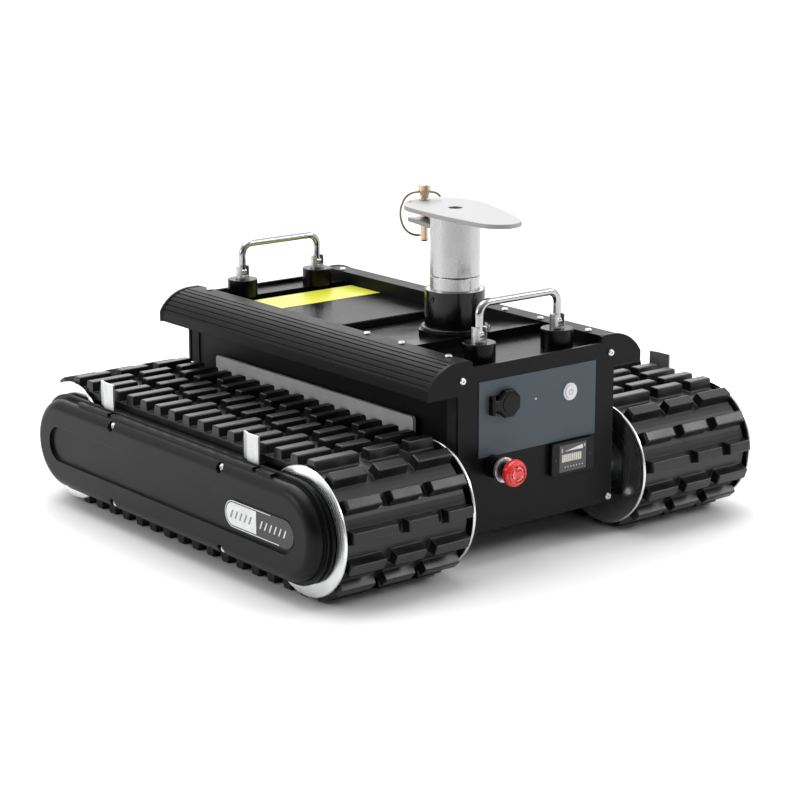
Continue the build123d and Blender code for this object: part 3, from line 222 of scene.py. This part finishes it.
plastic = coated("black_plastic", (0.0022, 0.0022, 0.0022), (0.004, 0.004, 0.004), 0.24, 0.5,
                 0.02, edge=0.5, painted_edge_tone=(0.03, 0.03, 0.03), spec=0.16)
window = coated("window_black", (0.003, 0.003, 0.0035), (0.0045, 0.0045, 0.005), 0.10, 2.0,
                0.002, edge=0.3, coat=0.5)
badge_black = coated("badge_black", (0.010, 0.010, 0.010), (0.014, 0.014, 0.014), 0.26, 1.4,
                     0.004, edge=0.3, painted_edge_tone=(0.03, 0.03, 0.03))
overlay = coated("overlay_blue", (0.050, 0.066, 0.082), (0.057, 0.075, 0.093), 0.42, 0.35,
                 0.01, edge=0.3, painted_edge_tone=(0.10, 0.12, 0.14), spec=0.3)
red = coated("stop_red", (0.70, 0.014, 0.010), (0.80, 0.022, 0.016), 0.24, 2.0, 0.01,
             edge=0.5, painted_edge_tone=(0.75, 0.07, 0.05), coat=0.4)
red_print = coated("stop_print", (0.80, 0.36, 0.32), (0.86, 0.44, 0.40), 0.3, 1.0, 0.005)
white = coated("white_plastic", (0.66, 0.67, 0.70), (0.72, 0.73, 0.76), 0.30, 1.5, 0.006,
               edge=0.4, painted_edge_tone=(0.90, 0.90, 0.92))
silver = coated("silver_print", (0.62, 0.64, 0.63), (0.74, 0.76, 0.75), 0.34, 0.9, 0.02,
                edge=0.2, patch=9)
cream = coated("cream_print", (0.62, 0.59, 0.52), (0.72, 0.69, 0.62), 0.35, 0.9, 0.005, patch=6)
grey_print = coated("grey_print", (0.20, 0.21, 0.24), (0.26, 0.27, 0.30), 0.4, 0.9, 0.003)
lamp = coated("lamp_lens", (0.45, 0.47, 0.48), (0.55, 0.57, 0.58), 0.18, 1.5, 0.01, coat=0.5)
case_grey = coated("battery_case", (0.06, 0.065, 0.07), (0.09, 0.095, 0.10), 0.45, 0.8, 0.04)
motor = coated("motor_paint", (0.03, 0.03, 0.032), (0.05, 0.05, 0.052), 0.42, 0.9, 0.04,
               painted_edge_tone=(0.2, 0.2, 0.2))
foam = coated("edge_foam", (0.0035, 0.0035, 0.0035), (0.010, 0.010, 0.010), 0.8, 1.6, 0.8,
              edge=0.3, patch=6)
cast = brushed("cast_aluminium", (0.40, 0.40, 0.41), (0.55, 0.55, 0.56), 0.42, (1, 1, 1), 1.0,
               depth=0.08)
strip = coated("strip_paint", (0.48, 0.48, 0.485), (0.58, 0.58, 0.585), 0.42, 0.8, 0.01,
               edge=0.5, painted_edge_tone=(0.40, 0.40, 0.41), spec=0.6)
tabs = brushed("tab_aluminium", (0.50, 0.51, 0.51), (0.66, 0.66, 0.66), 0.40, (1, 1, 0.04))
mast = brushed("mast_aluminium", (0.45, 0.45, 0.45), (0.48, 0.48, 0.48), 0.27, (1, 1, 0.1),
               grain=1.2, depth=0.001)
plate = brushed("plate_aluminium", (0.36, 0.36, 0.36), (0.41, 0.41, 0.41), 0.66, (1, 0.05, 1),
                grain=1.0, depth=0.008)
satin = brushed("satin_steel", (0.50, 0.50, 0.51), (0.62, 0.62, 0.63), 0.36, (1, 1, 1), 0.7,
                depth=0.01)
polished = brushed("polished_steel", (0.40, 0.40, 0.41), (0.48, 0.48, 0.49), 0.16,
                   (1, 1, 1), 3.0, depth=0.002)
zinc = brushed("zinc_screw", (0.62, 0.62, 0.63), (0.78, 0.78, 0.79), 0.26, (1, 1, 1), 0.8,
               depth=0.02)
gunmetal = brushed("gunmetal", (0.035, 0.035, 0.037), (0.07, 0.07, 0.072), 0.30, (1, 1, 1), 0.8,
                   depth=0.02)
pink_zinc = brushed("pin_zinc", (0.58, 0.42, 0.32), (0.74, 0.62, 0.40), 0.26, (1, 1, 0.2),
                    0.9, depth=0.01, patch=5)
bronze = brushed("ring_bronze", (0.26, 0.17, 0.10), (0.42, 0.30, 0.18), 0.30, (1, 1, 1),
                 0.9, depth=0.01, patch=5)
disc_front = turned_rings("disc_front", (0.66, 0.67, 0.68), (0.80, 0.81, 0.81), 0.20, -AXLE_Y)
disc_rear = turned_rings("disc_rear", (0.66, 0.67, 0.68), (0.80, 0.81, 0.81), 0.20, AXLE_Y)


def reflective_yellow():
    """Fluorescent sheeting with the fine diamond cells of reflective film."""
    s = Shader("label_yellow")
    s.set(Coat_Weight=0.08, Coat_Roughness=0.2, Specular_IOR_Level=0.2)
    cells = s.node("ShaderNodeTexVoronoi", feature="DISTANCE_TO_EDGE")
    cells.inputs["Scale"].default_value = 1.0
    cells.inputs["Randomness"].default_value = 0.0
    s.link(s.mapped((220, 220, 220), (0, 0, math.radians(45))), cells.inputs["Vector"])
    mask = s.spread(cells.outputs["Distance"], 0.0, 1.0, 0.02, 0.12)
    cloud = s.noise(20, 3.0)
    color = s.blend(mask, (0.45, 0.46, 0.03), (0.57, 0.58, 0.05))
    color = s.blend(s.spread(cloud, 0.0, 0.3), color, (0.51, 0.52, 0.04))
    return s.finish(color, s.spread(cloud, 0.32, 0.42), s.bump(mask, 0.02))


yellow = reflective_yellow()

finishes = {
    "chassis_shell": powder, "left_wing": powder, "right_wing": powder,
    "frame_plates": powder, "front_plate": sheet, "rear_plate": sheet, "battery_lid": deck,
    "battery_tray": sheet, "slider_beds": sheet, "front_deck": deck, "rear_deck": deck,
    "post_deck": deck, "left_cover": cover, "right_cover": cover, "post_sleeve": gloss,
    "left_front_drum": rubber, "left_rear_drum": rubber, "right_front_drum": rubber,
    "right_rear_drum": rubber, "left_track_belt": rubber, "right_track_belt": rubber,
    "left_front_axle": disc_front, "right_front_axle": disc_front,
    "left_rear_axle": disc_rear, "right_rear_axle": disc_rear,
    "guard_strips": strip, "guide_tabs": tabs, "cover_badges": badge_black,
    "cover_screws": zinc, "chassis_screws": zinc, "sleeve_set_screws": gunmetal,
    "gear_motors": motor, "axle_bearings": cast, "motor_controller": cast,
    "mast_bush": satin, "mast_tube": mast, "turret_tube": mast, "coupling_plate": plate,
    "lynch_pin": pink_zinc, "lynch_ring": bronze, "handle_pads": plastic,
    "handle_clevises": satin, "handle_pivot_pins": zinc, "front_handle": polished,
    "rear_handle": polished, "lid_label": yellow, "lid_hinge_bar": zinc,
    "battery_pack": case_grey, "panel_overlay": overlay, "status_led": lamp,
    "gauge_bezel": plastic, "gauge_window": window, "charge_port": plastic,
    "port_cap": plastic, "stop_base": plastic, "stop_bezel": satin, "stop_stem": zinc,
    "stop_head": red, "power_switch": white, "power_cap": white,
}
for name, finish in finishes.items():
    mesh = nodes[name].data
    mesh.materials.clear()
    mesh.materials.append(finish)


# ---------------------------------------------------------------- mesh helpers

def new_piece(name, mesh_maker, finish, body, bevel=0.0, segments=2):
    """Make an object from a function that fills a bmesh, and let it ride on a body."""
    bm = bmesh.new()
    mesh_maker(bm)
    bmesh.ops.recalc_face_normals(bm, faces=bm.faces)
    mesh = bpy.data.meshes.new(name)
    bm.to_mesh(mesh)
    bm.free()
    piece = bpy.data.objects.new(name, mesh)
    scene.collection.objects.link(piece)
    mesh.materials.append(finish)
    if bevel:
        modifier = piece.modifiers.new("bevel", "BEVEL")
        modifier.width = bevel * MM
        modifier.segments = segments
        modifier.limit_method = "ANGLE"
        modifier.angle_limit = math.radians(35)
    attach(piece, body)
    return piece


def smooth(piece, angle=35):
    """Smooth shading below an angle between faces."""
    for polygon in piece.data.polygons:
        polygon.use_smooth = True
    piece.data.set_sharp_from_angle(angle=math.radians(angle))
    return piece


def frame_at(origin, x_dir, z_dir):
    """Matrix of a plane given in metres; outlines on it are in millimetres."""
    z_axis = Vector(z_dir).normalized()
    x_axis = Vector(x_dir).normalized()
    y_axis = z_axis.cross(x_axis)
    return Matrix.Translation(origin) @ Matrix((x_axis, y_axis, z_axis)).transposed().to_4x4()


def prism(bm, place, outline, depth):
    """Solid with a flat outline, standing depth millimetres above its plane."""
    low, high = ([bm.verts.new(place @ Vector((x * MM, y * MM, z * MM))) for x, y in outline]
                 for z in (0.0, depth))
    bm.faces.new(low[::-1])
    bm.faces.new(high)
    for i, (a, b) in enumerate(zip(low, high)):
        bm.faces.new((low[i - 1], a, b, high[i - 1]))


def arc(x, y, radius, start, end, steps=12):
    """Points on an arc, angles in degrees."""
    turns = [math.radians(start + (end - start) * i / steps) for i in range(steps + 1)]
    return [(x + radius * math.cos(t), y + radius * math.sin(t)) for t in turns]


def ribbon(bm, place, line, width, depth):
    """Flat strip of one width that follows a line of points on its plane."""
    points = [Vector(p) for p in line]
    left, right = [], []
    for i, point in enumerate(points):
        ahead = points[min(i + 1, len(points) - 1)] - points[max(i - 1, 0)]
        side = Vector((-ahead.y, ahead.x)).normalized() * width / 2
        left.append(tuple(point + side))
        right.append(tuple(point - side))
    prism(bm, place, left + right[::-1], depth)


def skin_closed(bm, rings):
    """Faces between rings of equal length, closed both along and around."""
    for i, ring in enumerate(rings):
        for j, vert in enumerate(ring):
            bm.faces.new((rings[i - 1][j - 1], rings[i - 1][j], vert, ring[j - 1]))


def box_middle(name):
    """Centre of a CAD node's box, in metres."""
    low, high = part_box(name)
    return (low + high) / 2


# ---------------------------------------------------------------- tracks

PITCH_R = 61.5
ROWS = 45
ROW_PITCH = (4 * AXLE_Y / MM + 2 * math.pi * PITCH_R) / ROWS
LONG_ROW_Y = -148.0
BAND_OUTER = 65.5
BAND_INNER = 57.5
RIB_INNER = 52.5
TIP_R = 77.5
BLOCK_GAP = 13.0
MIDDLE_BLOCK = 41.0
LONG_BLOCK = 60.0
SHORT_BLOCK = 46.0
BLOCK_ROOT_WIDTH = 15.0
BLOCK_TIP_WIDTH = 12.0
BLOCK_INSET = 0.3
TURN_STEPS = 40


def loop_place(travel):
    """Matrix on the belt's loop: X across the track, Y along the travel, Z outward."""
    straight = 2 * AXLE_Y / MM
    half_turn = math.pi * PITCH_R
    travel = travel % (2 * (straight + half_turn))
    if travel < straight:
        centre, turn = AXLE_Y / MM - travel, 0.0
    elif travel < straight + half_turn:
        centre, turn = -straight / 2, (travel - straight) / PITCH_R
    elif travel < 2 * straight + half_turn:
        centre, turn = travel - 1.5 * straight - half_turn, math.pi
    else:
        centre, turn = straight / 2, math.pi + (travel - 2 * straight - half_turn) / PITCH_R
    outward = Vector((0, -math.sin(turn), math.cos(turn)))
    return frame_at((0, centre * MM, AXLE_Z), (1, 0, 0), outward)


def add_band(bm, low, high):
    """Closed belt loop with the guide rib on its inside."""
    middle = (low + high) / 2
    section = [(low, BAND_INNER), (low, BAND_OUTER), (high, BAND_OUTER), (high, BAND_INNER),
               (middle + 7, BAND_INNER), (middle + 6, RIB_INNER), (middle - 6, RIB_INNER),
               (middle - 7, BAND_INNER)]
    straight = 2 * AXLE_Y / MM
    half_turn = math.pi * PITCH_R
    stops = [0.0, straight / 2]
    stops += [straight + half_turn * i / TURN_STEPS for i in range(TURN_STEPS + 1)]
    stops += [1.5 * straight + half_turn]
    stops += [2 * straight + half_turn + half_turn * i / TURN_STEPS for i in range(TURN_STEPS)]
    rings = []
    for stop in stops:
        place = loop_place(stop)
        rings.append([bm.verts.new(place @ Vector((x * MM, 0, r * MM))) for x, r in section])
    skin_closed(bm, rings)


def add_block(bm, place, low, high, wide, narrow):
    """Cleat with sloping walls and a shallow crown, from X low to high."""
    levels = ((BAND_OUTER - 1, wide / 2 + 0.8, 0.6), (BAND_OUTER + 1.2, wide / 2, 0.0),
              (TIP_R - 0.9, narrow / 2 + 0.2, -0.5), (TIP_R, narrow / 2 - 0.7, -1.3))
    rings = []
    for height, half, grow in levels:
        corners = ((low - grow, -half), (high + grow, -half), (high + grow, half),
                   (low - grow, half))
        rings.append([bm.verts.new(place @ Vector((x * MM, y * MM, height * MM)))
                      for x, y in corners])
    for below, above in zip(rings, rings[1:]):
        for j in range(4):
            bm.faces.new((below[j - 1], below[j], above[j], above[j - 1]))
    bm.faces.new(rings[0][::-1])
    bm.faces.new(rings[-1])


def add_tread(bm, low, high):
    """Band and all its rows: one row in three has a long first block."""
    add_band(bm, low, high)
    for row in range(ROWS):
        place = loop_place(AXLE_Y / MM - LONG_ROW_Y + row * ROW_PITCH)
        first = LONG_BLOCK if row % 3 == 0 else SHORT_BLOCK
        middle = first + BLOCK_GAP
        last = middle + MIDDLE_BLOCK + BLOCK_GAP
        for start, end in ((BLOCK_INSET, first), (middle, middle + MIDDLE_BLOCK),
                           (last, high - low - BLOCK_INSET)):
            add_block(bm, place, low + start, low + end, BLOCK_ROOT_WIDTH, BLOCK_TIP_WIDTH)


for side in ("left", "right"):
    belt_low, belt_high = (corner.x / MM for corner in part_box(side + "_track_belt"))
    tread = new_piece(side + "_tread", lambda bm: add_tread(bm, belt_low, belt_high), rubber,
                      "chassis", bevel=0.7)
    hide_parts(side + "_track_belt")


# ---------------------------------------------------------------- badges

BADGE_HALF_LENGTH = 63.5
BADGE_HALF_HEIGHT = 16.0


def make_badge_prints():
    """White half, outline and slanted bars on each badge; the second turns half round."""
    low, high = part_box("cover_badges")
    half_length, half_height = BADGE_HALF_LENGTH, BADGE_HALF_HEIGHT
    middle_y = low.y / MM + half_length
    for side, name in ((-1, "left"), (1, "right")):
        surface = low.x if side < 0 else high.x
        place = frame_at((surface, middle_y * MM, AXLE_Z), (0, side, 0), (side, 0, 0))
        flip = -side
        field_r = half_height - 3.2
        bend = -(half_length - half_height)

        def white_field(bm):
            left_end = [(flip * x, y) for x, y in arc(bend, 0, field_r, 90, 270)]
            prism(bm, place, left_end + [(flip * -4, -field_r), (flip * -4, field_r)], 0.35)

        def outline(bm):
            around = [(22, half_height - 1.4)]
            around += arc(bend, 0, half_height - 1.4, 90, 270)
            around += [(half_length - 26, 1.4 - half_height)]
            ribbon(bm, place, [(flip * x, y) for x, y in around], 0.9, 0.3)

        def bars(bm, start, count, step, width, rise, depth):
            for i in range(count):
                x = start + i * step
                prism(bm, place, [(flip * (x + dx), dy) for dx, dy in
                                  ((-2.2, -rise), (width - 2.2, -rise), (width + 2.2, rise),
                                   (2.2, rise))], depth)

        new_piece(name + "_badge_field", white_field, silver, "chassis", 0.1)
        new_piece(name + "_badge_outline", outline, silver, "chassis")
        new_piece(name + "_badge_dark_bars", lambda bm: bars(bm, -51, 5, 8.6, 3.0, 4.6, 0.5),
                  grey_print, "chassis")
        new_piece(name + "_badge_pale_bars", lambda bm: bars(bm, 4, 6, 8.6, 2.0, 4.6, 0.3),
                  silver, "chassis")


make_badge_prints()


# ---------------------------------------------------------------- control panel

PRINT_DEPTH = 0.12
CAP_CENTRE_FROM_EDGE = 15.4


def front_place(name, proud=0.0):
    """Plane on the front of a node, X across and Y up, facing the front."""
    middle = box_middle(name)
    return frame_at((middle.x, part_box(name)[0].y - proud * MM, middle.z), (1, 0, 0), (0, -1, 0))


def power_symbol(bm):
    """Broken ring and bar of a power sign."""
    place = front_place("power_cap")
    ribbon(bm, place, arc(0, -0.2, 3.1, 125, 415, 30), 0.75, PRINT_DEPTH)
    prism(bm, place, [(-0.4, 0.2), (0.4, 0.2), (0.4, 4.0), (-0.4, 4.0)], PRINT_DEPTH)


def gauge_wedge(bm):
    """Rising wedge between its low and high marks."""
    place = front_place("gauge_window")
    prism(bm, place, [(-13.5, 8.3), (15.0, 8.0), (15.0, 12.4), (14.0, 12.6)], PRINT_DEPTH)
    prism(bm, place, [(-17.4, 7.0), (-16.4, 7.0), (-16.4, 12.0), (-17.4, 12.0)], PRINT_DEPTH)
    prism(bm, place, [(17.2, 9.5), (18.4, 9.5), (18.4, 13.2), (17.2, 13.2)], PRINT_DEPTH)


def gauge_segments(bm):
    """Row of ten charge bars."""
    place = front_place("gauge_window")
    for i in range(10):
        x = -16.8 + i * 3.0
        prism(bm, place, [(x, -4.2), (x + 2.4, -4.2), (x + 2.4, 4.6), (x, 4.6)],
              PRINT_DEPTH)


def gauge_dots(bm):
    """Small blocks under the bars, in place of lettering."""
    place = front_place("gauge_window")
    for i in range(7):
        prism(bm, place, arc(-12.0 + i * 4.4, -10.4, 0.8, 0, 330, 11), PRINT_DEPTH)


def gauge_screws(bm):
    """Screws at both sides of the gauge's frame."""
    place = front_place("gauge_bezel", -0.9)
    for x in (-26.0, 26.0):
        prism(bm, place, arc(x, 0, 2.0, 0, 345, 23), 0.6)


def stop_arrows(bm):
    """Three curved arrows that show which way the head is turned to let it out."""
    place = front_place("stop_head", -0.45)
    for start in (20, 140, 260):
        ribbon(bm, place, arc(0, 0, 7.0, start, start + 62), 1.1, 0.5)
        ends = [arc(0, 0, radius, start + 62, start + 63, 1)[0] for radius in (5.2, 8.8)]
        prism(bm, place, [ends[0], ends[1], arc(0, 0, 7.0, start + 84, start + 85, 1)[0]], 0.5)


def stop_rim(bm):
    """Raised ring on the face of the stop head."""
    place = front_place("stop_head")
    section = [(9.4, -2.2), (9.8, -0.2), (10.6, 0.3), (11.6, 0.1), (12.6, -1.0), (12.6, -2.2)]
    rings = []
    for i in range(72):
        turn = Matrix.Rotation(math.radians(5 * i), 4, "Z")
        rings.append([bm.verts.new(place @ turn @ Vector((r * MM, 0, z * MM)))
                      for r, z in section])
    skin_closed(bm, rings)


def cap_ribs(bm):
    """Raised disc on the charge port's cap, with grip ribs over its upper edge."""
    low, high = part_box("port_cap")
    centre = Vector((high.x - CAP_CENTRE_FROM_EDGE * MM, low.y, (low.z + high.z) / 2))
    place = frame_at(centre, (1, 0, 0), (0, -1, 0))
    prism(bm, place, arc(0, 0, 10.6, 0, 350, 35), 0.7)
    for i in range(9):
        angle = 40 + i * 10
        inner = arc(0, 0, 11.8, angle - 1.6, angle + 1.6, 1)
        outer = arc(0, 0, 14.2, angle + 1.3, angle - 1.3, 1)
        prism(bm, place, inner + outer, 0.6)


new_piece("power_symbol", power_symbol, grey_print, "power_cap")
new_piece("gauge_wedge", gauge_wedge, white, "chassis")
new_piece("gauge_segments", gauge_segments, cream, "chassis")
new_piece("gauge_dots", gauge_dots, cream, "chassis")
new_piece("gauge_screws", gauge_screws, gunmetal, "chassis", 0.3)
new_piece("stop_arrows", stop_arrows, red_print, "stop_head")
smooth(new_piece("stop_rim", stop_rim, red, "stop_head"), 50)
new_piece("port_cap_relief", cap_ribs, plastic, "port_cap", 0.25)


# ---------------------------------------------------------------- chassis details

FOAM_WIDTH = 1.6
FOAM_HEIGHT = 139
FOAM_FOOT = 21
WELD_REACH = 36.6
WELD_HEIGHT = 237.6


def edge_foam(bm):
    """Foam strips that close the gap beside each end plate."""
    low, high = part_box("chassis_shell")
    for side in (-1, 1):
        for end in (-1, 1):
            x = side * (high.x / MM)
            y_far = end * (high.y / MM - 0.5)
            y_near = end * (high.y / MM - 17)
            place = frame_at((0, 0, low.z + FOAM_FOOT * MM), (1, 0, 0), (0, 0, 1))
            x_out = x + side * FOAM_WIDTH
            prism(bm, place, [(x, y_near), (x_out, y_near), (x_out, y_far), (x, y_far)],
                  FOAM_HEIGHT)


def weld_bead(bm):
    """Hand-laid weld around the foot of the mast sleeve."""
    random.seed(4)
    middle = box_middle("post_sleeve")
    steps, around = 150, 10
    rings = []
    for i in range(steps):
        angle = 2 * math.pi * i / steps
        ripple = 0.35 * math.sin(angle * 52) + random.uniform(-0.25, 0.25)
        reach = WELD_REACH + random.uniform(-0.2, 0.2)
        ring = []
        for j in range(around):
            turn = 2 * math.pi * j / around
            radius = reach + (2.6 + ripple) * math.cos(turn)
            height = WELD_HEIGHT + (2.4 + ripple) * math.sin(turn)
            ring.append(bm.verts.new((middle.x + radius * MM * math.cos(angle),
                                      middle.y + radius * MM * math.sin(angle), height * MM)))
        rings.append(ring)
    skin_closed(bm, rings)


new_piece("edge_foam_strips", edge_foam, foam, "chassis", 0.4)
smooth(new_piece("mast_weld_bead", weld_bead, gloss, "chassis"), 80)


# ---------------------------------------------------------------- stage

BRIGHT_SIDE = (0.56, 0.72, 0.41)
SKY_DARK = 0.12
SKY_BRIGHT = 1.15
CAMERA_SPOT = (-1.6988, -2.1421, 0.8233)
CAMERA_VIEW = (0.605, 0.7569, -0.2472)
CAMERA_LENS = 105.35


def build_stage():
    """Pale floor that curves up far behind, a camera and soft studio lights."""
    def floor_mesh(bm):
        rows = []
        for step in range(41):
            y = -6.0 + step * 0.35
            z = 0.0 if y < 4.0 else (y - 4.0) ** 2 * 0.12
            rows.append([bm.verts.new((x * 0.5, y, z)) for x in range(-20, 21)])
        for low, high in zip(rows, rows[1:]):
            for i in range(len(low) - 1):
                bm.faces.new((low[i], low[i + 1], high[i + 1], high[i]))

    bm = bmesh.new()
    floor_mesh(bm)
    mesh = bpy.data.meshes.new("floor")
    bm.to_mesh(mesh)
    bm.free()
    floor = bpy.data.objects.new("floor", mesh)
    scene.collection.objects.link(floor)
    paper = coated("floor_paper", (0.86, 0.86, 0.86), (0.88, 0.88, 0.88), 0.7, 3.0, 0.02,
                   patch=400)
    mesh.materials.append(paper)

    world = bpy.data.worlds.new("studio")
    scene.world = world
    world.use_nodes = True
    background = world.node_tree.nodes["Background"]
    background.inputs["Strength"].default_value = 1.0
    tree = world.node_tree
    direction = tree.nodes.new("ShaderNodeTexCoord").outputs["Generated"]
    toward_back = tree.nodes.new("ShaderNodeVectorMath")
    toward_back.operation = "DOT_PRODUCT"
    toward_back.inputs[1].default_value = BRIGHT_SIDE
    tree.links.new(direction, toward_back.inputs[0])
    ramp = tree.nodes.new("ShaderNodeMapRange")
    ramp.interpolation_type = "SMOOTHSTEP"
    for key, value in (("From Min", -0.75), ("From Max", 0.45), ("To Min", SKY_DARK),
                       ("To Max", SKY_BRIGHT)):
        ramp.inputs[key].default_value = value
    tree.links.new(toward_back.outputs["Value"], ramp.inputs["Value"])
    tree.links.new(ramp.outputs["Result"], background.inputs["Color"])

    def light(name, spot, target, size, power):
        lamp_data = bpy.data.lights.new(name, "AREA")
        lamp_data.shape = "RECTANGLE"
        lamp_data.size, lamp_data.size_y = size
        lamp_data.energy = power
        holder = bpy.data.objects.new(name, lamp_data)
        holder.location = spot
        aim = Vector(target) - Vector(spot)
        holder.rotation_euler = aim.to_track_quat("-Z", "Y").to_euler()
        scene.collection.objects.link(holder)

    light("overhead", (-0.1, 0.5, 2.6), (0, 0, 0), (2.6, 2.2), 52)
    light("left", (-2.4, 1.0, 1.0), (-0.2, 0, 0.2), (1.0, 0.8), 14)
    light("right", (2.0, -2.0, 1.75), (0.1, -0.2, 0.1), (1.6, 0.5), 26)
    light("backdrop", (4.2, 5.4, 3.4), (4.2, 5.4, 0), (7.0, 7.0), 300)

    camera_data = bpy.data.cameras.new("camera")
    camera_data.lens = CAMERA_LENS
    camera_data.sensor_width = 36.0
    camera_data.clip_end = 50.0
    camera = bpy.data.objects.new("camera", camera_data)
    camera.location = CAMERA_SPOT
    camera.rotation_euler = Vector(CAMERA_VIEW).to_track_quat("-Z", "Y").to_euler()
    scene.collection.objects.link(camera)
    scene.camera = camera


build_stage()
scene.view_settings.view_transform = "Standard"
